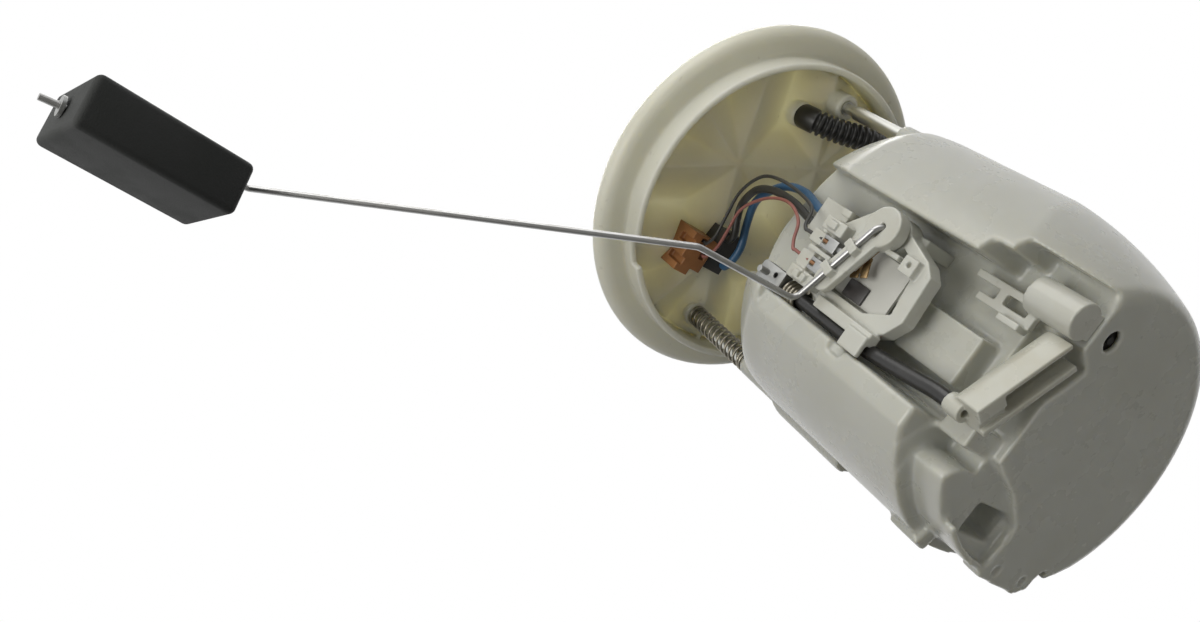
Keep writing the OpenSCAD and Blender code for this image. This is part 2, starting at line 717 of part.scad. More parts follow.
module pressure_regulator() color(STEEL) translate([reg_x, reg_y, 0]) {
    translate([0, 0, reg_low]) cylinder(r = 4, h = 8);
    translate([0, 0, reg_low + 8]) cylinder(r = regulator_r, h = 9);
    translate([0, 0, reg_low + 17]) cylinder(r = regulator_r - 1.6, h = reg_top - reg_low - 17);
}

module regulator_seal() color(RUBBER) translate([reg_x, reg_y, reg_low + 2]) ring(5.6, 4 + fit, 2);

boss_x = 26.2;
boss_y = -34;
// Boss with hooked arms at the foot of the channel
module hook_bracket() color(WHITE) {
    translate([boss_x, boss_y, -171]) cylinder(r = 5.6, h = 17);
    block([boss_x - 4, boss_y, -171], [boss_x + 4, ch_back, -157]);
    block([22, -34, -156], [24.4, -31.6, -133]);
    block([16.4, -34, -156], [18.8, -31.6, -137]);
    block([16.4, -34, -146], [24.4, -31.6, -143]);
    block([16.4, -34, -158], [boss_x, -31.6, -155]);
    block([14.5, -37, -157], [16.6, -31.6, -149]);
}

// Local frame of the jet pump: X along its tube
module on_jet() {
    translate([jet_x, jet_y, jet_z]) rotate([0, 0, jet_turn]) children();
}

module jet_pump_body() color(MILKY) on_jet() difference() {
    union() {
        rotate([0, 90, 0]) cylinder(r = jet_r, h = jet_len);
        block([0, -jet_r, -6], [jet_len, 0, 0]);
        block([0, jet_r - 2, -6], [jet_len, jet_r, 0]);
        cylinder(r = 3.2, h = 6.2);
        block([6, jet_r - 2, -3], [jet_len - 8, 6.95, 1]);
    }
    translate([3, 0, 0]) rotate([0, 90, 0]) cylinder(r = jet_r - 1.6, h = jet_len);
    block([9, -jet_r + 1.6, -8], [jet_len + 1, jet_r - 2, 0]);
    translate([0, 0, -1]) cylinder(r = 1.4, h = 9);
}

module jet_nozzle() color([0.45, 0.35, 0.25]) on_jet() rotate([0, 90, 0]) difference() {
    translate([0, 0, 3]) cylinder(r1 = jet_r - 1.6 - fit, r2 = 1.8, h = 5);
    translate([0, 0, 2]) cylinder(r = 0.6, h = 8);
}

module jet_hose() color(RUBBER) tube(route(JET_HOSE, 3), hose_r, 10, [1, 0, 0]);

// Bent steel plate with a pin, over the hose's top end
module hose_bracket() color(STEEL) {
    left = ch_left + fit;
    difference() {
        union() {
            block([left, -49.4, -81], [-6, -48.6, -67]);
            block([left, -49.4, -72], [left + 0.8, -38, -67]);
        }
        translate([-9, -40, -77]) rotate([90, 0, 0]) cylinder(r = 1.2, h = 20);
    }
    translate([-12, -48.6, -70]) rotate([90, 0, 0]) cylinder(r = 1.2, h = 4.4);
}

// Frame corners in X and Z, and how far the window stands inside them
FRAME_OUT = [[-11, -121], [-11, -99], [-7, -86], [11, -86], [26, -100], [26, -112],
    [19, -127], [-5, -127]];
FRAME_IN = [[-5.5, -119.5], [-5.5, -99], [-2, -96], [11, -96], [21.5, -103], [21.5, -112],
    [16, -122.8], [-2, -122.8]];
module sender_frame() color(WHITE) {
    difference() {
        union() {
            upright(frame_front, frame_back) difference() {
                polygon(FRAME_OUT);
                polygon(FRAME_IN);
            }
            upright(frame_front, frame_back) translate([pivot_x, pivot_z]) circle(r = 6);
            upright(frame_back - web_t, frame_back) polygon([[-7, -123], [-7, -96], [8, -96],
                [8, -123]]);
            for (x = [-8, 20]) block([x, frame_back - eps, -118], [x + 4, ch_back, -94]);
            block([-11, -50, -120], [-7, frame_front + eps, -92]);
            block([-19.5, -50, -122], [-7, -48.4, -116]);
        }
        translate([pivot_x, frame_back + 1, pivot_z]) rotate([90, 0, 0]) cylinder(r = pivot_r + run, h = 10);
        upright(frame_back - web_t - card_t, frame_back - web_t) polygon([[-4, -121.5], [-4, -98],
            [7, -98], [7, -121.5]]);
    }
    upright(-48.2, frame_front) polygon([[-7, -97], [-7, -89], [9, -89], [9, -97]]);
}

module resistor_card() color([0.82, 0.82, 0.8]) upright(frame_back - web_t - card_t, frame_back - web_t)
    polygon([[-4.8, -119], [-4.8, -98.4], [7.6, -98.4], [12.5, -103], [12.5, -122], [-2, -122]]);

module sender_terminals() color(STEEL) for (x = [-2, 5.5]) {
    block([x - 1.8, -49.6, -85.8], [x + 1.8, -46, -80]);
    block([x - 1.2, -49.2, -94], [x + 1.2, -48.3, -85.7]);
}

// Turns its children to lie along the holder, X from the pivot to the corner
module on_arm() {
    translate([pivot_x, 0, pivot_z]) rotate([0, 180 + arm_turn, 0]) children();
}

// Teardrop holder that clips the wire and turns in the frame
module rotor_arm() color(WHITE) difference() {
    union() {
        on_arm() {
            translate([0, holder_back, 0]) rotate([90, 0, 0])
                cylinder(r = 6.6, h = holder_back - holder_front);
            translate([0, holder_front, -4]) cube([24, arm_back - holder_front, 8]);
            translate([24, arm_back, 0]) rotate([90, 0, 0]) cylinder(r = 4, h = arm_back - holder_front);
            translate([4, arm_back - 1, -2.5]) cube([12, holder_back - arm_back + 1, 5]);
            for (x = [9, 19]) translate([x, arm_plane - 1.8, -2.6]) cube([3, 3.4, 5.2]);
        }
        translate([pivot_x, frame_back + 0.3, pivot_z]) rotate([90, 0, 0])
            cylinder(r = pivot_r, h = frame_back + 1.3 - holder_back);
    }
    on_arm() {
        translate([-1, arm_plane, 0]) rotate([0, 90, 0]) cylinder(r = arm_d / 2 + run, h = 60);
        translate([0, holder_back - 1.5, 0]) rotate([90, 0, 0]) cylinder(r = arm_d / 2 + run, h = 20);
        translate([-1, arm_plane, -arm_d / 2 - run]) cube([arm_bend_r + 2, arm_bend_r + 1, arm_d + 2 * run]);
    }
}

// Contact spring under the holder, with its brush on the card
module wiper() color([0.3, 0.24, 0.16]) on_arm() {
    translate([4, holder_back + fit, -2]) cube([12, 0.6, 4]);
    translate([14, holder_back + 0.6, -1.2]) cube([2, card_front - 0.1 - holder_back - 0.6, 2.4]);
}

// Points of a wire through p, with round bends at its inner points
function rounded(p) = concat([p[0]], [for (i = [1:len(p) - 2]) each bend_points(p, i)],
    [p[len(p) - 1]]);
function bend_points(p, i) = let (d = unit(p[i] - p[i - 1]), e = unit(p[i + 1] - p[i]),
    turn = acos(d * e), q = unit(e - (e * d) * d),
    c = p[i] + arm_bend_r * (q - tan(turn / 2) * d))
    [for (k = [0:5]) c + arm_bend_r * (sin(turn * k / 5) * d - cos(turn * k / 5) * q)];

// Bent wire, with its round end where the float turns
module arm_wire() color(STEEL) {
    tube(rounded([[pivot_x, holder_back - 2, pivot_z], [pivot_x, arm_plane, pivot_z],
        [corner_x, arm_plane, corner_z], [corner_x, bend_y, corner_z],
        float_root, float_root - [0, 4, 0]]), arm_d / 2 - 0.02, 12);
    bar(float_root - [0, 3.2, 0], float_root - [0, tip_len, 0], arm_d / 2);
}

float_root = [-68.1, -200, -39.5];
tip_len = 57.6;
float_far = 51;
float_turn = -57;
float_tilt = 7;

// Block that spins on the end of the wire; its bore runs slanted through it
module float() color(DARK) difference() {
    translate(float_root - [0, float_far, 0]) rotate([0, 0, float_tilt]) rotate([90, 0, 0])
        rotate([0, 0, float_turn]) translate([0, 0, -float_l]) rounded_bar(float_w, float_t, float_l, 2);
    translate(float_root) rotate([90, 0, 0]) cylinder(r = arm_d / 2 + run, h = 60);
}

module rounded_bar(w, d, h, r) {
    translate([-w / 2 + r, -d / 2, 0]) cube([w - 2 * r, d, h]);
    translate([-w / 2, -d / 2 + r, 0]) cube([w, d - 2 * r, h]);
    for (x = [-1, 1]) for (y = [-1, 1])
        translate([x * (w / 2 - r), y * (d / 2 - r), 0]) cylinder(r = r, h = h);
}

// Push-on ring that keeps the float on the wire
module float_clip() color(STEEL) translate(float_root - [0, float_far + 0.5, 0])
    rotate([90, 0, 0]) ring(3, arm_d / 2 + fit, 1);

flange_plate();
outlet_pipe();
power_socket();
socket_pins();
guide_rod_left();
guide_rod_right();
rod_clip_left();
rod_clip_right();
guide_spring();
feed_hose();
sender_connector();
pump_connector();
wire_blue();
wire_black();
wire_thin_black();
wire_pink();
reservoir_cup();
reservoir_cover();
harness_socket();
filter_case();
filter_cap();
filter_element();
pump_casing();
pump_inlet_cover();
pump_chamber_plate();
pump_outlet_cover();
pump_magnets();
pump_brushes();
pump_mount_rings();
suction_strainer();
inlet_valve();
pressure_regulator();
regulator_seal();
hook_bracket();
jet_pump_body();
jet_nozzle();
jet_hose();
hose_bracket();
sender_frame();
resistor_card();
sender_terminals();
pump_armature();
pump_shaft();
commutator();
impeller();
check_valve();
rotor_arm();
wiper();
arm_wire();
float_clip();
float();
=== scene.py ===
# %% [markdown]
# # An in-tank fuel pump module
# The module hangs in a fuel tank by its flange, and the photograph looks up at it from below.
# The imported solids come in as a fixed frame: they say where every piece is. This lesson gives
# each piece its finish, and models again the ones whose look depends on soft edges, coils,
# ribs or foam. All sizes are in millimetres of the drawing and are turned into metres by mm().

# %% Load the frame
import math

import bpy
from mathutils import Matrix, Vector


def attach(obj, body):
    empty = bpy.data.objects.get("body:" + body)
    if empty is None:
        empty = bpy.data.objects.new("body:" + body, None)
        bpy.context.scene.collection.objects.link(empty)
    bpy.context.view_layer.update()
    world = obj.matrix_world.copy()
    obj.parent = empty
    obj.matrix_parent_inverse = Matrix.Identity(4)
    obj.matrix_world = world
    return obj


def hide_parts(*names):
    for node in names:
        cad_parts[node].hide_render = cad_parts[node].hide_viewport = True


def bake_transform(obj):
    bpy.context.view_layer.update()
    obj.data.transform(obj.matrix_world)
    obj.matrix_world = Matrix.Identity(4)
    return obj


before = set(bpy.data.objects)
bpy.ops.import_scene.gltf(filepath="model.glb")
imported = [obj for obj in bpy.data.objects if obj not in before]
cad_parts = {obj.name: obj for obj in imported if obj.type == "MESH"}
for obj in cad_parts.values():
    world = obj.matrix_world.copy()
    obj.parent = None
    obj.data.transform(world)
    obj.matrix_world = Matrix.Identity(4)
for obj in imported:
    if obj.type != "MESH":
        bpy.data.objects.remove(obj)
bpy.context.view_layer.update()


def mm(*values):
    """Millimetres of the drawing in metres: one length, or a point."""
    if len(values) == 1:
        return values[0] / 1000
    return Vector(values) / 1000


# %% [markdown]
# The camera stands where the photographer's did: below the module and in front of the level
# sender, turned so that the module lies slanted across the picture. The lens comes from the
# flange's circle, whose ellipse in the picture gives both the angle and the distance.

# %% Camera
CAMERA_AT = mm(16, -298, -344)
CAMERA_RIGHT = Vector((0.5326, 0.7364, -0.4187)).normalized()
CAMERA_UP = Vector((0.8247, -0.3405, 0.4523)).normalized()
LENS, SENSOR_WIDTH = 33.06, 36

camera_data = bpy.data.cameras.new("camera")
camera_data.lens = LENS
camera_data.sensor_width = SENSOR_WIDTH
camera_data.clip_start = mm(10)
camera = bpy.data.objects.new("camera", camera_data)
bpy.context.scene.collection.objects.link(camera)
camera_back = CAMERA_RIGHT.cross(CAMERA_UP).normalized()
camera.matrix_world = Matrix.Translation(CAMERA_AT) @ Matrix(
    (CAMERA_RIGHT, camera_back.cross(CAMERA_RIGHT), camera_back)).transposed().to_4x4()
bpy.context.scene.camera = camera

# %% [markdown]
# The photograph has a white background and soft indoor light that comes from the picture's
# top. One wide lamp stands there, and a small one in front lights the channel and the flange's
# underside. A third shines on the flange from above, because its milky deck glows in the
# photograph. The world is white only where the camera, a reflection or a glass looks at it, so
# that it lights little.

# %% Floor, lamps and world
FLOOR_Z, FLOOR_SIZE = mm(-850), 6
MODULE_MIDDLE = mm(0, -40, -80)
bpy.ops.mesh.primitive_plane_add(size=FLOOR_SIZE, location=(0, 0, FLOOR_Z))
floor = bpy.context.object
floor.name = "floor"


def lamp(name, direction, distance, size, power, colour):
    """A square lamp that looks at the module's middle from a direction."""
    data = bpy.data.lights.new(name, "AREA")
    data.size = size
    data.energy = power
    data.color = colour
    made = bpy.data.objects.new(name, data)
    bpy.context.scene.collection.objects.link(made)
    toward = Vector(direction).normalized()
    made.location = MODULE_MIDDLE + toward * distance
    made.rotation_euler = toward.to_track_quat("Z", "Y").to_euler()


lamp("window_light", (0.70, -0.66, 0.28), 1.2, 1.1, 8.3, (1.0, 0.99, 0.95))
lamp("side_light", (-0.27, -0.95, -0.10), 0.6, 0.35, 1.75, (1.0, 0.985, 0.93))
lamp("deck_light", (0.15, 0.25, 1.0), 0.6, 0.5, 2.6, (1.0, 0.99, 0.97))

world = bpy.data.worlds.new("studio")
bpy.context.scene.world = world
world.use_nodes = True
world_nodes = world.node_tree.nodes
world_links = world.node_tree.links
world_nodes.clear()
path = world_nodes.new("ShaderNodeLightPath")
seen = path.outputs["Is Camera Ray"]
for ray in ("Is Glossy Ray", "Is Transmission Ray"):
    either = world_nodes.new("ShaderNodeMath")
    either.operation = "MAXIMUM"
    world_links.new(seen, either.inputs[0])
    world_links.new(path.outputs[ray], either.inputs[1])
    seen = either.outputs[0]
choose = world_nodes.new("ShaderNodeMixShader")
world_links.new(seen, choose.inputs["Fac"])
UNSEEN, SEEN = 1, 2
for socket, colour, strength in ((UNSEEN, (1.0, 0.98, 0.93, 1), 0.06), (SEEN, (1, 1, 1, 1), 1)):
    background = world_nodes.new("ShaderNodeBackground")
    background.inputs["Color"].default_value = colour
    background.inputs["Strength"].default_value = strength
    world_links.new(background.outputs[0], choose.inputs[socket])
world_out = world_nodes.new("ShaderNodeOutputWorld")
world_links.new(choose.outputs[0], world_out.inputs["Surface"])
bpy.context.scene.view_settings.view_transform = "Standard"
print(len(bpy.data.lights), "lamps")

# %% [markdown]
# ## Finishes
# Most of the module is moulded plastic that has stood in fuel: even at a glance, but with
# clouds of a slightly darker and yellower tone, small specks, and a skin that is not quite
# flat. One shader group gives all of these from the piece's own coordinates. Each material
# sets its own two tones, sizes and depths.

# %% Helpers for materials


def group(name, inputs):
    """An empty shader group that gives colour, roughness and height, with its end nodes."""
    tree = bpy.data.node_groups.new(name, "ShaderNodeTree")
    for label, value in inputs.items():
        kind = "Float" if isinstance(value, float) else "Vector" if len(value) == 3 else "Color"
        socket = tree.interface.new_socket(name=label, in_out="INPUT",
                                           socket_type="NodeSocket" + kind)
        socket.default_value = value
    for label, kind in (("Color", "Color"), ("Roughness", "Float"), ("Height", "Float")):
        tree.interface.new_socket(name=label, in_out="OUTPUT", socket_type="NodeSocket" + kind)
    return tree, tree.nodes.new("NodeGroupInput").outputs, tree.nodes.new("NodeGroupOutput")


def give(tree, out, colour, roughness, height):
    """Links what a shader group gives to its output node."""
    for label, value in (("Color", colour), ("Roughness", roughness), ("Height", height)):
        tree.links.new(value, out.inputs[label])


def noise(tree, vector, scale, detail=4, roughness=0.55):
    """A noise texture on a vector; scale is a number or a socket."""
    node = tree.nodes.new("ShaderNodeTexNoise")
    node.inputs["Detail"].default_value = detail
    node.inputs["Roughness"].default_value = roughness
    tree.links.new(vector, node.inputs["Vector"])
    if isinstance(scale, (int, float)):
        node.inputs["Scale"].default_value = scale
    else:
        tree.links.new(scale, node.inputs["Scale"])
    return node.outputs["Fac"]


def ramp(tree, value, low, high):
    """value stretched so that low becomes 0 and high becomes 1."""
    node = tree.nodes.new("ShaderNodeMapRange")
    node.interpolation_type = "SMOOTHSTEP"
    node.inputs["From Min"].default_value = low
    node.inputs["From Max"].default_value = high
    tree.links.new(value, node.inputs["Value"])
    return node.outputs["Result"]


def arithmetic(tree, operation, a, b):
    """A math node on two sockets or numbers."""
    node = tree.nodes.new("ShaderNodeMath")
    node.operation = operation
    for socket, value in zip(node.inputs, (a, b)):
        if isinstance(value, (int, float)):
            socket.default_value = value
        else:
            tree.links.new(value, socket)
    return node.outputs[0]


def mixed(tree, factor, a, b):
    """Colour a where factor is 0 and b where it is 1."""
    node = tree.nodes.new("ShaderNodeMix")
    node.data_type = "RGBA"
    tree.links.new(factor, node.inputs["Factor"])
    for socket, value in ((node.inputs["A"], a), (node.inputs["B"], b)):
        if isinstance(value, tuple):
            socket.default_value = (*value, 1)
        else:
            tree.links.new(value, socket)
    return node.outputs["Result"]

def own_place(tree):
    """The piece's own coordinates in metres."""
    return tree.nodes.new("ShaderNodeTexCoord").outputs["Object"]


# %% Skin of moulded plastic
GREY = (0.5, 0.5, 0.5, 1)
skin, skin_in, skin_out = group("moulded_skin", {
    "Tone": GREY, "Cloud Tone": GREY, "Speck Tone": GREY, "Cloud Scale": 30.0,
    "Cloud Amount": 0.6, "Speck Amount": 0.4, "Gloss Roughness": 0.35, "Grain Scale": 1500.0})
where = own_place(skin)
CLOUD_EDGE, SPECK_EDGE = (0.38, 0.68), (0.70, 0.80)
SPECK_SCALE, RUB_SCALE, SINK_SCALE = 260.0, 55.0, 45.0
clouds = ramp(skin, noise(skin, where, skin_in["Cloud Scale"]), *CLOUD_EDGE)
clouds = arithmetic(skin, "MULTIPLY", clouds, skin_in["Cloud Amount"])
toned = mixed(skin, clouds, skin_in["Tone"], skin_in["Cloud Tone"])
specks = ramp(skin, noise(skin, where, SPECK_SCALE, 2, 0.4), *SPECK_EDGE)
specks = arithmetic(skin, "MULTIPLY", specks, skin_in["Speck Amount"])
toned = mixed(skin, specks, toned, skin_in["Speck Tone"])
rubbed = arithmetic(skin, "MULTIPLY", noise(skin, where, RUB_SCALE, 5, 0.6), 0.16)
rough = arithmetic(skin, "ADD", rubbed, arithmetic(
    skin, "SUBTRACT", skin_in["Gloss Roughness"], 0.08))
sinks = arithmetic(skin, "MULTIPLY", noise(skin, where, SINK_SCALE, 2, 0.4), 3.0)
height = arithmetic(skin, "ADD", sinks, arithmetic(
    skin, "MULTIPLY", noise(skin, where, skin_in["Grain Scale"], 2, 0.5), 0.12))
give(skin, skin_out, toned, rough, height)


def new_material(name, look, values, bump, depth, metallic=0.0):
    """A material that takes colour, gloss and height from a shader group."""
    made = bpy.data.materials.new(name)
    made.use_nodes = True
    tree = made.node_tree
    shader = tree.nodes["Principled BSDF"]
    shader.inputs["Metallic"].default_value = metallic
    node = tree.nodes.new("ShaderNodeGroup")
    node.node_tree = look
    for label, value in values.items():
        socket = node.inputs[label]
        socket.default_value = (*value, 1) if socket.type == "RGBA" else value
    tree.links.new(node.outputs["Color"], shader.inputs["Base Color"])
    tree.links.new(node.outputs["Roughness"], shader.inputs["Roughness"])
    relief = tree.nodes.new("ShaderNodeBump")
    relief.inputs["Strength"].default_value = bump
    relief.inputs["Distance"].default_value = depth
    tree.links.new(node.outputs["Height"], relief.inputs["Height"])
    tree.links.new(relief.outputs["Normal"], shader.inputs["Normal"])
    return made, node, shader


def let_light_in(shader, weight, radius, scale):
    """Lets a share of the light pass below the surface, red the furthest."""
    shader.inputs["Subsurface Weight"].default_value = weight
    shader.inputs["Subsurface Radius"].default_value = radius
    shader.inputs["Subsurface Scale"].default_value = scale


SKIN_BUMP, SKIN_DEPTH = 0.25, 0.0004


def plastic(name, tone, cloud_tone, cloud_scale=28.0, cloud_amount=0.6, speck_amount=0.25,
            gloss=0.35, through=0.0):
    """Moulded plastic with its own tones; through is how much light passes into it."""
    values = {"Tone": tone, "Cloud Tone": cloud_tone, "Speck Tone": (0.2, 0.17, 0.12),
              "Cloud Scale": cloud_scale, "Cloud Amount": cloud_amount,
              "Speck Amount": speck_amount, "Gloss Roughness": gloss}
    made, _, shader = new_material(name, skin, values, SKIN_BUMP, SKIN_DEPTH)
    let_light_in(shader, through, (1.0, 0.85, 0.55), 0.005)
    return made


# %% Plastics of this module
shell_white = plastic("shell_white", (0.53, 0.535, 0.49), (0.47, 0.47, 0.41), gloss=0.28,
                      cloud_amount=0.4, speck_amount=0.05, through=0.5)
sender_white = plastic("sender_white", (0.58, 0.585, 0.54), (0.51, 0.50, 0.43), gloss=0.30,
                       cloud_scale=60.0, through=0.1)
milky_white = plastic("milky_white", (0.56, 0.56, 0.50), (0.49, 0.47, 0.38), gloss=0.28,
                      cloud_scale=60.0, through=0.15)
plug_black = plastic("plug_black", (0.030, 0.030, 0.030), (0.055, 0.050, 0.045), gloss=0.45,
                     cloud_scale=120.0)
plug_orange = plastic("plug_orange", (0.36, 0.155, 0.055), (0.26, 0.11, 0.04), gloss=0.42,
                      cloud_scale=90.0)
nozzle_brown = plastic("nozzle_brown", (0.16, 0.10, 0.06), (0.10, 0.07, 0.05))
card_white = plastic("card_white", (0.60, 0.60, 0.57), (0.50, 0.50, 0.46), gloss=0.5)
wheel_black = plastic("wheel_black", (0.04, 0.04, 0.04), (0.07, 0.06, 0.06))

# %% [markdown]
# The flange has yellowed where fuel vapour stood in its pockets, while its rim stayed pale. It
# is thin and milky, so light from above shows through its deck: the shader lets much of the
# light pass through the wall. Both tones are also painted lighter than the plastic, the yellow
# one most: a painted glow that stands in for that light. The two tones meet at a radius that a
# noise makes uneven.

# %% Yellowed flange plastic with a painted glow
YELLOW_GLOW_R, PALE_R = 0.060, 0.0715
flange_yellow_glow, skin_node, shader = new_material(
    "flange_yellow_glow", skin,
    {"Speck Tone": (0.2, 0.16, 0.09), "Cloud Scale": 22.0, "Cloud Amount": 0.6,
     "Speck Amount": 0.2, "Gloss Roughness": 0.42}, SKIN_BUMP, SKIN_DEPTH)
let_light_in(shader, 0.85, (1.0, 0.95, 0.8), 0.009)
tree = flange_yellow_glow.node_tree
place = own_place(tree)
split = tree.nodes.new("ShaderNodeSeparateXYZ")
tree.links.new(place, split.inputs[0])
flat_place = tree.nodes.new("ShaderNodeCombineXYZ")
tree.links.new(split.outputs["X"], flat_place.inputs["X"])
tree.links.new(split.outputs["Y"], flat_place.inputs["Y"])
reach = tree.nodes.new("ShaderNodeVectorMath")
reach.operation = "LENGTH"
tree.links.new(flat_place.outputs[0], reach.inputs[0])
blotch = arithmetic(tree, "MULTIPLY", noise(tree, place, 40.0), 0.010)
outside = ramp(tree, arithmetic(tree, "ADD", reach.outputs["Value"], blotch), YELLOW_GLOW_R, PALE_R)
# Painted glow: both tones are set lighter than the plastic, the yellow one most.
for label, yellow_glow, pale in (("Tone", (0.78, 0.755, 0.60), (0.71, 0.705, 0.62)),
                            ("Cloud Tone", (0.71, 0.68, 0.50), (0.65, 0.64, 0.54))):
    tree.links.new(mixed(tree, outside, yellow_glow, pale), skin_node.inputs[label])
print(len(bpy.data.materials), "plastics")

# %% [markdown]
# The metal of the module is drawn wire and rod, stamped plate and the pump's casing. Drawing
# leaves fine lines along the piece, and fuel leaves a thin brown film, so the group stretches
# one noise along an axis for the lines and lays a second one over it for the film.

# %% Metals
drawn, drawn_in, drawn_out = group("drawn_metal", {
    "Metal": GREY, "Film": GREY, "Stretch": (1.0, 1.0, 0.05), "Film Amount": 0.4,
    "Polish": 0.25})
place = own_place(drawn)
stretched = drawn.nodes.new("ShaderNodeVectorMath")
stretched.operation = "MULTIPLY"
drawn.links.new(place, stretched.inputs[0])
drawn.links.new(drawn_in["Stretch"], stretched.inputs[1])
LINE_SCALE, FILM_SCALE, LINE_DEPTH = 2600.0, 90.0, 0.00005
lines = noise(drawn, stretched.outputs[0], LINE_SCALE, 3, 0.6)
film = ramp(drawn, noise(drawn, place, FILM_SCALE, 5, 0.65), 0.42, 0.72)
film = arithmetic(drawn, "MULTIPLY", film, drawn_in["Film Amount"])
filmed = mixed(drawn, film, drawn_in["Metal"], drawn_in["Film"])
worn = arithmetic(drawn, "ADD", drawn_in["Polish"],
                  arithmetic(drawn, "MULTIPLY", film, 0.3))
worn = arithmetic(drawn, "ADD", worn, arithmetic(drawn, "MULTIPLY", lines, 0.12))
give(drawn, drawn_out, filmed, worn, lines)


def metal(name, colour, film_colour, stretch=(1.0, 1.0, 0.05), film_amount=0.4, polish=0.25):
    """Metal with drawn lines along an axis and a film of old fuel."""
    values = {"Metal": colour, "Film": film_colour, "Stretch": stretch,
              "Film Amount": film_amount, "Polish": polish}
    return new_material(name, drawn, values, 0.15, LINE_DEPTH, metallic=1.0)[0]


EVEN = (1, 1, 1)
rod_steel = metal("rod_steel", (0.62, 0.62, 0.58), (0.40, 0.36, 0.28))
wire_steel = metal("wire_steel", (0.40, 0.40, 0.40), (0.26, 0.25, 0.23), (1.0, 0.06, 1.0),
                   polish=0.28)
spring_steel = metal("spring_steel", (0.30, 0.28, 0.23), (0.14, 0.12, 0.09), EVEN, 0.6, 0.24)
plate_steel = metal("plate_steel", (0.33, 0.335, 0.33), (0.22, 0.21, 0.18), (0.1, 1, 1), 0.35,
                    0.36)
bare_copper = metal("bare_copper", (0.24, 0.13, 0.07), (0.10, 0.06, 0.04), EVEN, 0.7, 0.45)
case_steel = metal("case_steel", (0.55, 0.55, 0.53), (0.38, 0.35, 0.28), film_amount=0.3)
cast_alloy = metal("cast_alloy", (0.52, 0.52, 0.51), (0.36, 0.34, 0.30), EVEN, polish=0.42)
turned_brass = metal("turned_brass", (0.60, 0.42, 0.16), (0.38, 0.25, 0.10), EVEN)
wound_copper = metal("wound_copper", (0.55, 0.26, 0.12), (0.32, 0.15, 0.07), (1, 1, 8))
wiper_bronze = metal("wiper_bronze", (0.30, 0.21, 0.11), (0.16, 0.10, 0.05), EVEN, 0.6, 0.35)
sintered_magnet = metal("sintered_magnet", (0.10, 0.10, 0.10), (0.16, 0.14, 0.12), EVEN,
                        polish=0.5)

# %% [markdown]
# Rubber, wire covering, foam and filter paper are dull: what shows is a fine grain and small
# changes of tone. They share one group, which gives a fine and a coarse noise.

# %% Dull materials
dull, dull_in, dull_out = group("dull_grain", {
    "Tone": GREY, "Light Tone": GREY, "Grain Scale": 900.0, "Cloud Scale": 60.0,
    "Dullness": 0.6})
place = own_place(dull)
grain = noise(dull, place, dull_in["Grain Scale"], 3, 0.6)
cloud = ramp(dull, noise(dull, place, dull_in["Cloud Scale"], 4, 0.6), 0.40, 0.70)
share = arithmetic(dull, "ADD", arithmetic(dull, "MULTIPLY", cloud, 0.6),
                   arithmetic(dull, "MULTIPLY", grain, 0.4))
toned = mixed(dull, share, dull_in["Tone"], dull_in["Light Tone"])
rough = arithmetic(dull, "ADD", dull_in["Dullness"], arithmetic(dull, "MULTIPLY", cloud, 0.12))
give(dull, dull_out, toned, rough, grain)


def dull_material(name, tone, light_tone, grain_scale=900.0, cloud_scale=60.0, dullness=0.6,
                  bump=0.3, depth=0.0002):
    """A material without gloss, with a grain of its own size."""
    values = {"Tone": tone, "Light Tone": light_tone, "Grain Scale": grain_scale,
              "Cloud Scale": cloud_scale, "Dullness": dullness}
    return new_material(name, dull, values, bump, depth)[0]


hose_black = dull_material("hose_black", (0.012, 0.012, 0.012), (0.030, 0.029, 0.027),
                           dullness=0.30)
rubber_black = dull_material("rubber_black", (0.014, 0.014, 0.014), (0.035, 0.034, 0.032))
foam_black = dull_material("foam_black", (0.004, 0.005, 0.005), (0.012, 0.014, 0.013), 2200.0,
                           70.0, 0.72, 0.5, 0.0003)
paper_cream = dull_material("paper_cream", (0.60, 0.52, 0.33), (0.68, 0.62, 0.44), 700.0)
mesh_white = dull_material("mesh_white", (0.58, 0.56, 0.48), (0.66, 0.65, 0.58), 3000.0)
brush_carbon = dull_material("brush_carbon", (0.03, 0.03, 0.03), (0.06, 0.055, 0.05), 1200.0)
COVER = (500.0, 90.0)
cover_blue = dull_material("cover_blue", (0.028, 0.095, 0.20), (0.05, 0.13, 0.24), *COVER, 0.36)
cover_black = dull_material("cover_black", (0.020, 0.020, 0.019), (0.045, 0.043, 0.039), *COVER,
                            0.38)
cover_pink = dull_material("cover_pink", (0.26, 0.085, 0.07), (0.34, 0.14, 0.115), *COVER, 0.4)
floor_pale = dull_material("floor_pale", (0.74, 0.74, 0.73), (0.78, 0.78, 0.77), 40.0, 3.0,
                           0.7, 0.05)
floor.data.materials.append(floor_pale)
print(len(bpy.data.materials), "materials")

# %% [markdown]
# ## Pieces that keep their CAD solid
# What is hidden inside the reservoir keeps the solid that the frame brought and only gets its
# finish, and so do plain outer pieces such as the guide rods and the two fittings on the
# flange. A table says which finish goes with which node.

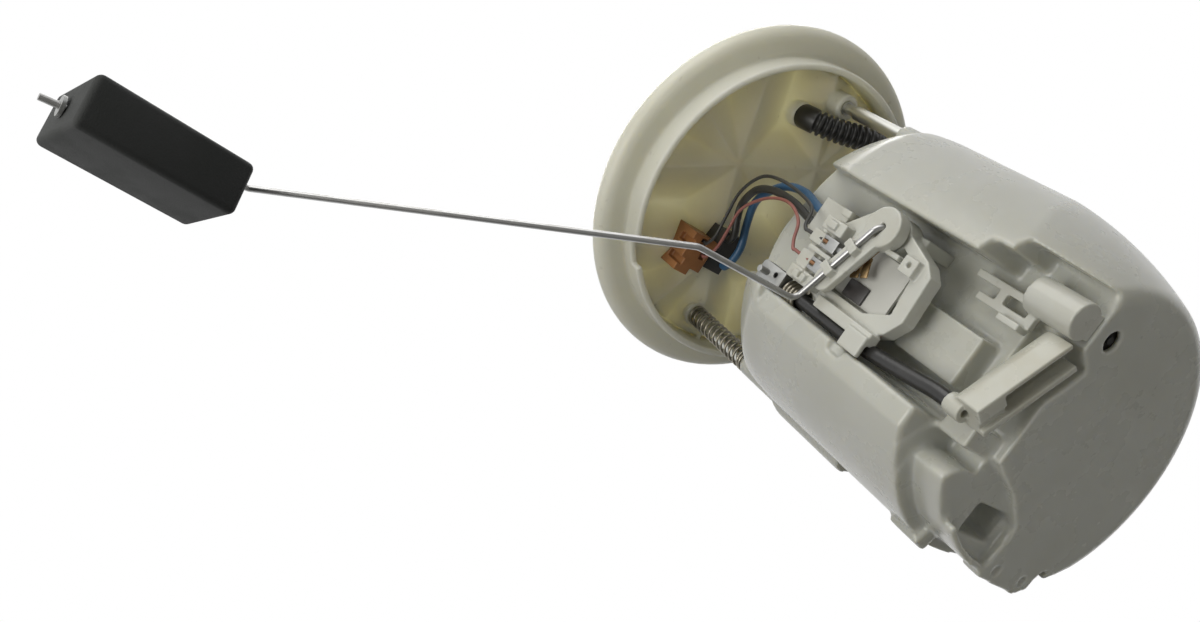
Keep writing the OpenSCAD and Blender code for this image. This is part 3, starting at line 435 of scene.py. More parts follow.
# %% Finishes of the CAD nodes
FINISHES = (
    (flange_yellow_glow, "outlet_pipe"), (plug_black, "power_socket pump_outlet_cover"),
    (plate_steel, "socket_pins float_clip"),
    (rod_steel, "guide_rod_left guide_rod_right pump_shaft"),
    (spring_steel, "rod_clip_left rod_clip_right"), (shell_white, "filter_case filter_cap"),
    (paper_cream, "filter_element"), (case_steel, "pump_casing pressure_regulator"),
    (cast_alloy, "pump_inlet_cover pump_chamber_plate"), (sintered_magnet, "pump_magnets"),
    (brush_carbon, "pump_brushes"), (mesh_white, "suction_strainer"),
    (rubber_black, "pump_mount_rings inlet_valve regulator_seal"),
    (nozzle_brown, "jet_nozzle"), (card_white, "resistor_card"),
    (wound_copper, "pump_armature commutator"), (wheel_black, "impeller"),
    (turned_brass, "check_valve"), (wiper_bronze, "wiper"))
dressed = 0
for finish, node_names in FINISHES:
    for node_name in node_names.split():
        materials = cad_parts[node_name].data.materials
        materials.clear()
        materials.append(finish)
        dressed += 1
print(dressed, "nodes dressed")

# %% [markdown]
# ## Moulded pieces with soft edges
# Moulded plastic has no sharp edge anywhere: the tool's corners are rounded so that the part
# fills and comes out. A copy of the CAD solid is turned into an even skin of small squares by
# a Remesh modifier, and a Smooth modifier then rounds every edge by about the square's size
# times the root of the passes. That rounds inner and outer corners alike, as in a mould.

# %% Helpers for pieces


def only(piece):
    """Makes one object the active and only selected one, in object mode."""
    if bpy.context.mode != "OBJECT":
        bpy.ops.object.mode_set(mode="OBJECT")
    bpy.ops.object.select_all(action="DESELECT")
    piece.hide_set(False)
    piece.select_set(True)
    bpy.context.view_layer.objects.active = piece
    return piece


def settle(piece):
    """Applies the object's place, turn and size to its mesh."""
    only(piece)
    bpy.ops.object.transform_apply(location=True, rotation=True, scale=True)
    return piece


def apply_modifiers(piece):
    """Applies all modifiers in their order."""
    only(piece)
    for modifier in list(piece.modifiers):
        bpy.ops.object.modifier_apply(modifier=modifier.name)
    return piece


MERGE = (bpy.ops.mesh.remove_doubles, {"threshold": 1e-6})
OUTWARD = (bpy.ops.mesh.normals_make_consistent, {"inside": False})


def edited(piece, *steps):
    """Runs edit-mode operators with their settings, each on the whole mesh."""
    only(piece)
    bpy.ops.object.mode_set(mode="EDIT")
    for operator, settings in steps:
        bpy.ops.mesh.select_all(action="SELECT")
        operator(**settings)
    bpy.ops.object.mode_set(mode="OBJECT")
    return piece


def copy_of(node, name):
    """A free copy of a CAD node's solid, with its loose triangles joined."""
    piece = bpy.data.objects.new(name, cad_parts[node].data.copy())
    bpy.context.scene.collection.objects.link(piece)
    return edited(piece, MERGE)


SOFT_ANGLE, ROUND_ANGLE, SHEET_ANGLE = 80, 60, 35


def finished(piece, body, material, nodes, angle):
    """Smooths the shading, sets the finish and joins the piece to its body."""
    only(piece)
    bpy.ops.object.shade_smooth_by_angle(angle=math.radians(angle))
    piece.data.materials.clear()
    piece.data.materials.append(material)
    if body:
        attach(piece, body)
    if nodes:
        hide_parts(*nodes)
    print(piece.name, len(piece.data.polygons), "faces")
    return piece


def soft_skin(piece, square, passes, keep=1.0, shape=None):
    """Remeshes a piece into squares of a size in mm, shapes it and rounds its edges."""
    remesh = piece.modifiers.new("remesh", "REMESH")
    remesh.mode = "VOXEL"
    remesh.voxel_size = mm(square)
    apply_modifiers(piece)
    if shape:
        shape(piece)
    smooth = piece.modifiers.new("smooth", "SMOOTH")
    smooth.factor = 0.5
    smooth.iterations = passes
    if keep < 1:
        thin = piece.modifiers.new("thin", "DECIMATE")
        thin.ratio = keep
    return apply_modifiers(piece)


def moulded(node, name, square, passes, body, material, keep=1.0, shape=None):
    """A soft-edged copy of a CAD solid; keep thins its faces."""
    piece = soft_skin(copy_of(node, name), square, passes, keep, shape)
    return finished(piece, body, material, [node], SOFT_ANGLE)


# %% [markdown]
# Under the flange's deck the ribs run out into the pockets like the folds of a tent: each
# pocket falls away from the ribs on both sides and is deepest along its middle. The ribs
# repeat every quarter turn and mirror inside it, so a place is folded into one eighth, where
# three lines are enough. The least distance to them says how far a point of the deck comes
# down. It becomes a vertex weight, and a Displace modifier moves the points by it.

# %% Pockets of the flange
HUB_RING = 27
HUB_TURN = math.radians(-68)
SIDE_RIB = math.radians(49.9)
RIB_Z = -1.2
DECK_Z = 4.8
POCKET_R = 60
POCKET_SLOPE = 0.38


def rib_distance(x, y):
    """Distance in mm from a place under the deck to the middle of the nearest rib."""
    quarter = math.pi / 2
    turn = abs((math.atan2(y, x) - HUB_TURN + quarter / 2) % quarter - quarter / 2)
    reach = math.hypot(x, y)
    along, across = reach * math.cos(turn) - HUB_RING, reach * math.sin(turn)
    to_side_rib = abs(across * math.cos(SIDE_RIB) - along * math.sin(SIDE_RIB))
    to_cross_rib = abs(across + along) / math.sqrt(2)
    to_spoke = across if along > 0 else POCKET_R
    return min(to_side_rib, to_cross_rib, to_spoke)


def fold_pockets(piece):
    """Brings the deck's underside down to folds that run out from the ribs."""
    weights = piece.vertex_groups.new(name="fold")
    depth = DECK_Z - RIB_Z
    for point in piece.data.vertices:
        x, y, z = (1000 * c for c in point.co)
        if math.hypot(x, y) < POCKET_R and z < DECK_Z + 0.5:
            drop = z - RIB_Z - POCKET_SLOPE * rib_distance(x, y)
            if drop > 0:
                weights.add([point.index], min(drop / depth, 1), "REPLACE")
    fold = piece.modifiers.new("fold", "DISPLACE")
    fold.direction = "Z"
    fold.mid_level = 0
    fold.strength = -mm(depth)
    fold.vertex_group = "fold"
    apply_modifiers(piece)


moulded("flange_plate", "flange_ribbed", 0.62, 4, "flange", flange_yellow_glow, 0.5,
        fold_pockets)

# %% [markdown]
# ## The reservoir
# The sub-tank is thin at its walls and full of steps, because it carries the sender, the jet
# pump and the pump's foot on its outside. Its round body is what three turned solids have in
# common: the upright side, the taper to the foot, and the domed top. Boxes then cut the channel
# for the sender and the stepped foot. The same body, made smaller by the wall, is taken out of
# its inside, and the raised details are joined to it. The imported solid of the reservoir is
# plainer and wider, so this piece lies up to 8 mm inside it.

# %% Helpers for lines and solids
TURN_STEPS = 112


def line_object(name, line, thickness=0.0, sides=6):
    """A curve through points, round and closed at its ends if it has a thickness."""
    data = bpy.data.curves.new(name, "CURVE")
    data.dimensions = "3D"
    data.bevel_depth = thickness
    data.bevel_resolution = sides
    data.use_fill_caps = True
    spline = data.splines.new("POLY")
    spline.points.add(len(line) - 1)
    for point, place in zip(spline.points, line):
        point.co = (*place, 1)
    made = bpy.data.objects.new(name, data)
    bpy.context.scene.collection.objects.link(made)
    return made


def tube_piece(name, line, thickness=0.0, sides=6):
    """A round tube along points, or a bare line if it has no thickness, as a mesh."""
    only(line_object(name, line, thickness, sides))
    bpy.ops.object.convert(target="MESH")
    return bpy.context.object


def turned(name, outline, centre):
    """A solid turned about an upright axis from (radius, height) points in mm."""
    spin = (bpy.ops.mesh.spin, {"steps": TURN_STEPS, "angle": 2 * math.pi,
                                "center": (0, 0, 0), "axis": (0, 0, 1)})
    piece = edited(tube_piece(name, [mm(r, 0, z) for r, z in outline]), spin, MERGE, OUTWARD)
    piece.location = mm(*centre, 0)
    return settle(piece)


def box(low, high, turn=0, at=(0, 0)):
    """A box between two corners, turned by degrees about the upright axis, then moved to at."""
    bpy.ops.object.select_all(action="DESELECT")
    bpy.ops.mesh.primitive_cube_add(size=1)
    piece = bpy.context.object
    piece.scale = mm(*(b - a for a, b in zip(low, high)))
    piece.location = mm(*((a + b) / 2 for a, b in zip(low, high)))
    settle(piece)
    piece.rotation_euler.z = math.radians(turn)
    piece.location = mm(*at, 0)
    return settle(piece)


def post(x, y, radius, low, high, sides=48):
    """An upright cylinder."""
    bpy.ops.object.select_all(action="DESELECT")
    bpy.ops.mesh.primitive_cylinder_add(vertices=sides, radius=mm(radius), depth=mm(high - low),
                                        location=mm(x, y, (low + high) / 2))
    return settle(bpy.context.object)


def extruded(name, line, shift):
    """A flat outline of points, filled and drawn out by a shift."""
    draw_out = (bpy.ops.mesh.extrude_region_move, {"TRANSFORM_OT_translate": {"value": shift}})
    return edited(tube_piece(name, line + line[:1]), MERGE, (bpy.ops.mesh.edge_face_add, {}),
                  draw_out, OUTWARD)


def prism(corners, low, high):
    """An upright prism over a flat outline of (x, y) corners."""
    return extruded("prism", [mm(x, y, low) for x, y in corners], (0, 0, mm(high - low)))


def combined(piece, tools, operation="DIFFERENCE"):
    """Cuts each tool from a piece, joins it, or keeps what both share."""
    for tool in tools:
        step = piece.modifiers.new("step", "BOOLEAN")
        step.solver = "EXACT"
        step.operation = operation
        step.object = tool
        apply_modifiers(piece)
        bpy.data.objects.remove(tool)
    return piece


def coil_point(x, y, radius, turn, z):
    """A point on a coil about the upright line through (x, y)."""
    return mm(x + radius * math.cos(turn), y + radius * math.sin(turn), z)


def arc(centre, radius, start, end, steps=14):
    """Points of an arc between two angles in degrees."""
    angles = (math.radians(start + (end - start) * k / steps) for k in range(steps + 1))
    return [(centre[0] + radius * math.cos(a), centre[1] + radius * math.sin(a)) for a in angles]


# %% Sizes of the reservoir
SHELL_R, SHELL_AT = 55.1, (2, -1.4)
TAPER_R, TAPER_AT = 64.25, (-6.9, -2.9)
DOME_R, DOME_AT = 62.5, (1.2, 5.5)
RES_TOP, RES_LOW = -44, -172
DEEP, FRONT = RES_LOW - 20, -90
WALL = 2.2
TOP_ARC_R, TOP_ARC_Z = 96, -80
LOW_ARC_R, LOW_ARC_Z = 123, -117
SHOULDER_R, FOOT_R, DOME_ROUND = 11, 6, 46
CH_LEFT, CH_RIGHT, CH_BACK = -17, 27.4, -28
BLOCK_LOW = -155.5
BULGE_Y, BULGE_RIGHT, BULGE_ROUND = -40, -24, 8
FOOT_STEP = [(-17.5, -60), (-17, -36), (-18.2, -26.7), (-24.5, -12.4), (-32.4, -2.1),
             (-38.7, -0.9), (-80, -0.9), (-80, -60)]
FOOT_STEP_Z = -168
FOOT_WALL_R, FOOT_WALL_Z = 49, -156
PUMP_Y = 10
COVER_R, COVER_T, COVER_LOW = 36, 2.4, -52
ROD_X = 51
ROD_BORE = 3.3
GUIDE_LOW = -80
RIDGE_R, RIDGE_BORE, RIDGE_LOW = 6, 4.6, -108
COLLAR_R, COLLAR_TOP = 4.4, -42
JET_X, JET_Y = -14, -45.5

# %% Round body and its recesses


def side_outline(inset):
    """Half section of the upright side with its rounded top."""
    z = RES_TOP - SHOULDER_R
    arc_x = SHELL_R - TOP_ARC_R
    x = arc_x + math.sqrt((TOP_ARC_R - SHOULDER_R) ** 2 - (z - TOP_ARC_Z) ** 2)
    lean = math.degrees(math.atan2(z - TOP_ARC_Z, x - arc_x))
    return ([(0, RES_LOW - 1), (SHELL_R - inset, RES_LOW - 1)]
            + arc((arc_x, TOP_ARC_Z), TOP_ARC_R - inset, 0, lean)
            + arc((x, z), SHOULDER_R - inset, lean, 90) + [(0, RES_TOP - inset)])


def taper_outline(inset):
    """Half section of the taper with its rounded foot."""
    z = RES_LOW + FOOT_R
    arc_x = TAPER_R - LOW_ARC_R
    x = arc_x + math.sqrt((LOW_ARC_R - FOOT_R) ** 2 - (z - LOW_ARC_Z) ** 2)
    lean = math.degrees(math.atan2(z - LOW_ARC_Z, x - arc_x))
    return ([(0, RES_LOW + inset)] + arc((x, z), FOOT_R - inset, -90, lean)
            + arc((arc_x, LOW_ARC_Z), LOW_ARC_R - inset, lean, 0)
            + [(TAPER_R - inset, RES_TOP + 5), (0, RES_TOP + 5)])


def dome(inset):
    """Solid under the domed top."""
    bend = (DOME_R - DOME_ROUND, RES_TOP - DOME_ROUND)
    outline = ([(0, DEEP), (DOME_R - inset, DEEP)] + arc(bend, DOME_ROUND - inset, 0, 90, 24)
               + [(0, RES_TOP - inset)])
    return turned("dome", outline, DOME_AT)


def recesses(grow):
    """Solids that the channel and the stepped foot take out, widened by grow."""

    def front_cut(left, right, top):
        """A cut from the front as far back as the channel's floor."""
        return box((left, FRONT, DEEP), (right + grow, CH_BACK + grow, top))

    below = front_cut(-70, CH_LEFT, BLOCK_LOW + grow)
    column = [box((-90, BULGE_Y + BULGE_ROUND, DEEP - 1), (BULGE_RIGHT - grow, 0, 0)),
              box((-90, BULGE_Y + grow, DEEP - 1), (BULGE_RIGHT - BULGE_ROUND, 0, 0)),
              post(BULGE_RIGHT - BULGE_ROUND, BULGE_Y + BULGE_ROUND, BULGE_ROUND - grow,
                   DEEP - 1, 0)]
    left = box((-80, -60, DEEP), (-20, 28, FOOT_WALL_Z + grow))
    return [
        front_cut(CH_LEFT - grow, CH_RIGHT, 100),
        front_cut(0, CH_RIGHT + 5, -141 + grow),
        front_cut(0, CH_RIGHT + 10, -148 + grow),
        box((-70, -60, DEEP), (0.5 + grow, grow, -155 + grow), 30, (15, -21)),
        box((-60, FRONT, DEEP), (0, -50 + grow, -80 + grow)),
        combined(below, column),
        prism([(x + 0.8 * grow, y + 0.8 * grow) for x, y in FOOT_STEP], DEEP, FOOT_STEP_Z + grow),
        combined(left, [post(0, 0, FOOT_WALL_R - grow, DEEP - 1, 0, 96)]),
        box((-41 - grow, -18 - grow, DEEP), (-31 + grow, -3 + grow, -158 + grow))]


def body(name, inset):
    """The reservoir's body, made smaller by inset all round."""
    piece = turned(name, side_outline(inset), SHELL_AT)
    combined(piece, [turned("taper", taper_outline(inset), TAPER_AT), dome(inset)], "INTERSECT")
    return combined(piece, recesses(inset))


shell = body("reservoir_shell", 0)
combined(shell, [body("inside", WALL)])
print("body", len(shell.data.polygons), "faces")

# %% Raised details, openings and bores of the reservoir
CHANNEL_WALL = CH_BACK + WALL
rod_ridges = [combined(post(side * ROD_X, 0, RIDGE_R, RIDGE_LOW, RES_TOP), [dome(0)], "INTERSECT")
              for side in (-1, 1)]
collars = [post(side * ROD_X, 0, COLLAR_R, GUIDE_LOW, COLLAR_TOP) for side in (-1, 1)]
wall_strip = combined(post(0, 0, FOOT_WALL_R, RES_LOW, FOOT_WALL_Z, 96),
                      [post(0, 0, FOOT_WALL_R - WALL, RES_LOW - 1, FOOT_WALL_Z + 1, 96)])
combined(wall_strip, [box((-60, -27, RES_LOW), (-30, 0, FOOT_WALL_Z))], "INTERSECT")
lug = combined(box((-7.6, -13, RES_LOW), (8, 13, RES_LOW + 7.5), 4, (-44, 11)),
               [post(-30, 8, 24.5, RES_LOW, RES_LOW + 7.5, 96)], "INTERSECT")
snap_tab = box((FOOT_WALL_R - 1, -3, -158.5), (SHELL_R + 0.3, 3, -146), 195)
raised_block = box((-8, -36, -150), (8, CHANNEL_WALL, -124))
column_block = box((-19, BULGE_Y, FOOT_STEP_Z), (-12, CHANNEL_WALL, BLOCK_LOW - 1.5))
spigot = tube_piece("spigot", [mm(JET_X, CH_BACK + 1, -70.5), mm(JET_X, JET_Y, -70.5)], mm(2))
spigot_end = post(JET_X, JET_Y, 2, -74, -69.2, 24)
combined(shell, rod_ridges + collars + [wall_strip, lug, snap_tab, raised_block, column_block,
                                        spigot, spigot_end], "UNION")
openings = [post(0, PUMP_Y, COVER_R + 0.1, RES_TOP - 12, RES_TOP + 18, 96),
            post(26, -20, 3, RES_LOW - 1, RES_LOW + 9, 24),
            box((CH_LEFT - 3.2, -55, -122.3), (CH_LEFT + 1, -48.1, -115.7)),
            post(-46.8, 3.9, 1.6, RES_LOW - 1, RES_LOW + 1.6, 24),
            post(-47, 18.8, 1.6, RES_LOW - 1, RES_LOW + 1.6, 24)]
for side in (-1, 1):
    openings.append(post(side * ROD_X, 0, ROD_BORE, GUIDE_LOW - 1, COLLAR_TOP + 2, 32))
    openings.append(post(side * ROD_X, 0, RIDGE_BORE, RIDGE_LOW + 1.5, GUIDE_LOW, 32))
combined(shell, openings)
soft_skin(shell, 0.8, 7, 0.42)
finished(shell, "reservoir", shell_white, ["reservoir_cup"], SOFT_ANGLE)

# %% Lid of the reservoir
lid = post(0, PUMP_Y, COVER_R, COVER_LOW, RES_TOP, 96)
lid.name = "reservoir_lid"
combined(lid, [post(0, PUMP_Y, COVER_R - 2, COVER_LOW - 1, RES_TOP - COVER_T, 96),
               post(24, 26, 4.1, RES_TOP - 20, RES_TOP + 20, 32)])
soft_skin(lid, 0.6, 3, 0.6)
finished(lid, "reservoir", shell_white, ["reservoir_cover"], SOFT_ANGLE)

# %% Smaller moulded pieces
moulded("hook_bracket", "hooks", 0.35, 3, "reservoir", sender_white)
moulded("jet_pump_body", "jet_pump", 0.35, 3, "reservoir", milky_white)
moulded("harness_socket", "harness_plug_seat", 0.35, 3, "reservoir", sender_white)
moulded("rotor_arm", "teardrop_holder", 0.28, 13, "float_arm", sender_white)
moulded("sender_connector", "sender_plug", 0.3, 2, "flange", plug_orange)
moulded("pump_connector", "pump_plug", 0.3, 2, "flange", plug_black)
# %% [markdown]
# ## The level sender
# The sender's frame is a thick rounded band round the card that the wiper runs on. The band is
# a plate with its window cut out, and what it carries is joined to it: the ring of the pivot,
# the bar beside the hose, two feet in the channel, and a small block with a hole. The blocks
# that hold the two terminals are rounder, so they are a piece of their own.

# %% Frame and terminal blocks of the sender
FRAME_FRONT, FRAME_BACK = -47, -41
PIVOT = (19, -110)
FRAME_OUT = [(-11, -121), (-11, -99), (-7, -86), (10, -86), (22, -98), (23.5, -110),
             (17.5, -127), (14, -131), (-1, -132), (-7, -128.5)]
FRAME_IN = [(-5.5, -117), (-5.5, -99), (-2, -96), (10, -96), (18.5, -102), (19.5, -111),
            (13.5, -124.5), (-1, -126.5)]


def plate(corners, front, back):
    """An upright plate over an outline of (x, z) corners, from front to back along Y."""
    return extruded("plate", [mm(x, front, z) for x, z in corners], (0, mm(back - front), 0))


def ring_outline(x, z, radius, sides=40):
    """Corners of a circle in the (x, z) plane."""
    return arc((x, z), radius, 0, 360 - 360 / sides, sides - 1)


band = plate(FRAME_OUT, FRAME_FRONT, FRAME_BACK)
band.name = "sender_window_frame"
combined(band, [plate(FRAME_IN, FRAME_FRONT - 1, FRAME_BACK + 1)])
tab = box((10.8, -49.6, -126.5), (16.2, -46, -120.6))
combined(tab, [plate(ring_outline(13.8, -123.6, 0.9), -50, -47.5)])
combined(band, [plate(ring_outline(*PIVOT, 6), FRAME_FRONT, FRAME_BACK),
                plate([(-7, -125), (-7, -96), (9, -96), (9, -125)], FRAME_BACK - 1.6, FRAME_BACK),
                box((-8, FRAME_BACK - 0.5, -118), (-4, CH_BACK + 0.3, -94)),
                box((19, FRAME_BACK - 0.5, -118), (23, CH_BACK + 0.3, -94)),
                box((-12.4, -50, -128), (-8.4, -45.5, -101)),
                box((-16.8, -51, -128), (-10, -49, -119)),
                box((12.9, -50.4, -119.5), (14.7, -45.5, -113.5)), tab], "UNION")
combined(band, [plate(ring_outline(*PIVOT, 3.1), FRAME_FRONT - 1, FRAME_BACK + 1),
                box((-3.5, -46, -124.6), (3, -40, -117.4))])
soft_skin(band, 0.33, 6, 0.6)
finished(band, "reservoir", sender_white, ["sender_frame"], SOFT_ANGLE)

blocks = plate([(-9, -97.5), (-9, -88), (-7, -84), (10, -84), (14, -88), (14, -96)], -47.6,
               -43.5)
blocks.name = "terminal_blocks"
BLOCK_BACK = -45
HOUSINGS = (((-9.6, -51.4, -97), (-5.2, -84.5)), ((-4.8, -50, -89.5), (0.6, -83.5)),
            ((1.2, -50.8, -97), (2.9, -85.5)), ((3.6, -50, -89), (8, -83)),
            ((9, -51.2, -96), (13.6, -86)), ((10.2, -52.4, -93), (12.8, -88.5)),
            ((-9, -52.4, -94), (-6.2, -88)))
combined(blocks, [box(low, (x, BLOCK_BACK, z)) for low, (x, z) in HOUSINGS]
         + [box((15.5, -47, -90), (18, -44.5, -85.5))], "UNION")
combined(blocks, [box((-8.4, -53, -91.6), (-4, -50.6, -90.7)),
                  box((-8.4, -53, -95), (-4, -50.9, -94.1))])
soft_skin(blocks, 0.33, 6, 0.7)
finished(blocks, "reservoir", sender_white, (), SOFT_ANGLE)

# %% [markdown]
# Each terminal is a strip folded to a small open box that grips the wire's bare end, so its
# mouth shows the copper. A bevel breaks the box's edges, because sheet metal bends in a radius.

# %% Terminals, bracket and spring clip
TERMINALS = ((-2, -98), (5.9, -97.5))


def bevelled(piece, width, angle=40):
    """Rounds the sharp edges of a piece by a width in mm."""
    bevel = piece.modifiers.new("bevel", "BEVEL")
    bevel.width = mm(width)
    bevel.segments = 2
    bevel.limit_method = "ANGLE"
    bevel.angle_limit = math.radians(angle)
    return apply_modifiers(piece)


def joined(name, pieces):
    """Several pieces as one object."""
    bpy.ops.object.select_all(action="DESELECT")
    for piece in pieces:
        piece.select_set(True)
    bpy.context.view_layer.objects.active = pieces[0]
    bpy.ops.object.join()
    pieces[0].name = name
    return pieces[0]


crimps, wire_ends = [], []
for x, low in TERMINALS:
    crimp = box((x - 2.1, -51.6, low), (x + 2.1, -47.6, low + 7))
    combined(crimp, [box((x - 1.4, -50.9, low + 1.5), (x + 1.4, -48.3, low + 8)),
                     box((x - 0.9, -52, low + 4.6), (x + 0.9, -50, low + 8))])
    crimps.append(bevelled(crimp, 0.3))
    crimps.append(bevelled(box((x - 1, -51, low - 3.4), (x + 1, -48.6, low + 0.1)), 0.5))
    ends = [mm(x, -49.2, low + 2), mm(x, -49.2, low + 8.6)]
    wire_ends.append(tube_piece("wire_end", ends, mm(0.7), 4))
finished(joined("terminal_crimps", crimps), "reservoir", plate_steel, ["sender_terminals"],
         SHEET_ANGLE)
finished(joined("bare_wire_ends", wire_ends), "reservoir", bare_copper, (), 50)

bracket = plate([(-16.8, -83.6), (-16.8, -73), (-15.8, -72), (-10.6, -72), (-9.6, -73),
                 (-9.6, -83.6)], -50.2, -49.3)
combined(bracket, [box((-16.8, -50.2, -84.4), (-9.6, -46.4, -83.5)),
                   box((-10.5, -50.2, -80), (-9.6, -46, -73.5)),
                   tube_piece("pin", [mm(-13, -49.6, -76.4), mm(-13, -54.2, -76.4)], mm(1.15), 6)],
         "UNION")
combined(bracket, [plate(ring_outline(-12.2, -80.4, 1.0), -51, -49)])
bracket.name = "hose_bracket_bent"
finished(bevelled(bracket, 0.25), "reservoir", plate_steel, ["hose_bracket"], SHEET_ANGLE)

CLIP_R, CLIP_LOW, CLIP_RISE = 3.3, -92.4, 6.8
CLIP_STEPS, CLIP_TURN = 96, math.pi / 12
CLIP_LINE = [coil_point(JET_X, JET_Y, CLIP_R, k * CLIP_TURN, CLIP_LOW + CLIP_RISE * k / CLIP_STEPS)
             for k in range(CLIP_STEPS + 1)]
finished(tube_piece("hose_spring_clip", CLIP_LINE, mm(0.75), 4), "reservoir", spring_steel, (),
         ROUND_ANGLE)

# %% [markdown]
# Inside the frame's window the wiper's two bronze fingers cross the white card. They ride on
# the float arm, while the dark square on the card stays with it.

# %% Wiper fingers and dark square
fingers = [plate([(0.9, -105.6), (6.6, -102.9), (8.0, -105.7), (2.3, -108.4)], -48, -47.4),
           plate([(2.6, -109.1), (8.3, -106.4), (9.4, -108.8), (3.7, -111.5)], -47.9, -47.3),
           plate([(5.8, -103.3), (6.8, -102.8), (9.6, -108.8), (8.6, -109.3)], -48.3, -47.2)]
finished(bevelled(joined("wiper_fingers", fingers), 0.15), "float_arm", wiper_bronze, (),
         40)
dark_square = bevelled(box((-4.6, -44.6, -112.2), (1.2, -43.5, -103.2)), 0.3)
dark_square.name = "card_dark_square"
finished(dark_square, "reservoir", wheel_black, (), 40)

# %% [markdown]
# ## Hoses and wires
# The wires and the feed hose bend between the flange and the reservoir, and both ends are held.
# The jet hose stays on the reservoir. Each follows a route of given points. A smooth
# line through them is computed in the same way as for the solids, so the detailed piece lies
# where the plain tube is. Only the sender's two thin wires run on, down into their terminals.

# %% Routes


def straight(x, y, *heights):
    """A straight upright run of a route, where an end is held."""
    return [(x, y, z) for z in heights]


FEED_HOSE = straight(39.5, -11, -1.3, -2.3, -3.8) + [
    (40, -8.5, -7.5), (41, -3.5, -11), (43.2, 4, -15), (45.5, 11, -18), (46.5, 18, -20),
    (45, 25, -22), (39, 30, -25), (31, 30, -29), (25.5, 27.5, -33.5)
    ] + straight(24, 26, -37, -38.5, -39.7)
JET_HOSE = straight(JET_X, JET_Y, -74.3, -84, -100, -116) + [
    (-13.4, JET_Y, -128), (-12, JET_Y, -142), (-10.7, JET_Y, -153)
    ] + straight(-10.5, JET_Y, -157, -159.5)
WIRE_THIN_BLACK = straight(-22, -25, -8.3, -9.8, -11.2) + [
    (-17, -26, -14.5), (-8.5, -27, -14.5), (2, -29, -16), (11, -32, -25), (14, -35, -38),
    (14, -38, -54), (12, -42, -68), (7, -46.8, -75), (5.5, -47.8, -77.5), (5.5, -47.8, -78.6),
    (5.6, -48.4, -82), (5.9, -49.6, -88.5)]
WIRE_PINK = straight(-27, -22, -8.3, -9.8, -11.2) + [
    (-24, -23.5, -15), (-19.5, -25, -18), (-12.5, -27, -20), (-3.5, -29, -22), (3.4, -31, -30),
    (7.8, -34, -41), (9, -38, -54), (6, -42, -66), (0.5, -46.5, -74), (-2, -47.8, -77.5),
    (-2, -47.8, -78.6), (-2, -48.4, -82), (-2, -49.6, -88.5)]
WIRE_BLACK = straight(-16.5, -16, -9.3, -10.3) + [
    (-16.2, -16.2, -11.4), (-13, -18.4, -14.4), (-8, -20.6, -13.6), (-1.5, -22.5, -13),
    (6, -26, -20), (9.5, -29.5, -33), (10, -32, -48), (8.6, -34, -60)
    ] + straight(8, -34.5, -64.5, -66, -67.7)
WIRE_BLUE = straight(-26.5, -10.5, -9.3, -10.3) + [
    (-26.2, -10.6, -11.4), (-22.5, -12, -14.6), (-16, -12.4, -14.8), (-7.5, -14.8, -13),
    (2, -19, -15), (9.5, -22.5, -24), (13.5, -26, -34), (15, -29.5, -47), (13.6, -33.6, -60)
    ] + straight(13, -34.5, -64.5, -66, -67.7)


def smooth_line(points, steps):
    """Points on the smooth curve through the given points, in metres."""
    p = [mm(*q) for q in points]
    line = []
    for i in range(len(p) - 1):
        a, b, c, d = p[max(i - 1, 0)], p[i], p[i + 1], p[min(i + 2, len(p) - 1)]
        for k in range(steps):
            t = k / steps
            line.append(0.5 * (2 * b + (c - a) * t + (2 * a - 5 * b + 4 * c - d) * t * t
                               + (3 * b - a - 3 * c + d) * t * t * t))
    return line + [p[-1]]


def wire(name, node, points, diameter, material):
    """An insulated wire that bends between the flange and the reservoir."""
    piece = tube_piece(name, smooth_line(points, 6), mm(diameter / 2))
    finished(piece, None, material, [node], ROUND_ANGLE)
    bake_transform(piece)


wire("pump_wire_blue", "wire_blue", WIRE_BLUE, 3.2, cover_blue)
wire("pump_wire_black", "wire_black", WIRE_BLACK, 3.0, cover_black)
wire("sender_wire_black", "wire_thin_black", WIRE_THIN_BLACK, 1.3, cover_black)
wire("sender_wire_pink", "wire_pink", WIRE_PINK, 1.2, cover_pink)

# %% [markdown]
# The feed hose is a convoluted tube, so that it bends when the reservoir slides. One wave of
# its wall is a circle extruded and widened step by step. A loop repeats it, and a Curve
# modifier lays the straight hose along its route.

# %% Convoluted feed hose
HOSE_CREST = mm(4.95)
HOSE_VALLEY = mm(3.8)
WAVE = mm(2.5)
CUFF = mm(6.5)


def widened_ring(height, size):
    """Extrudes the selected ring upwards and sets its width as a share of the old one."""
    bpy.ops.mesh.extrude_region_move(TRANSFORM_OT_translate={"value": (0, 0, height)})
    bpy.ops.transform.resize(value=(size, size, 1))


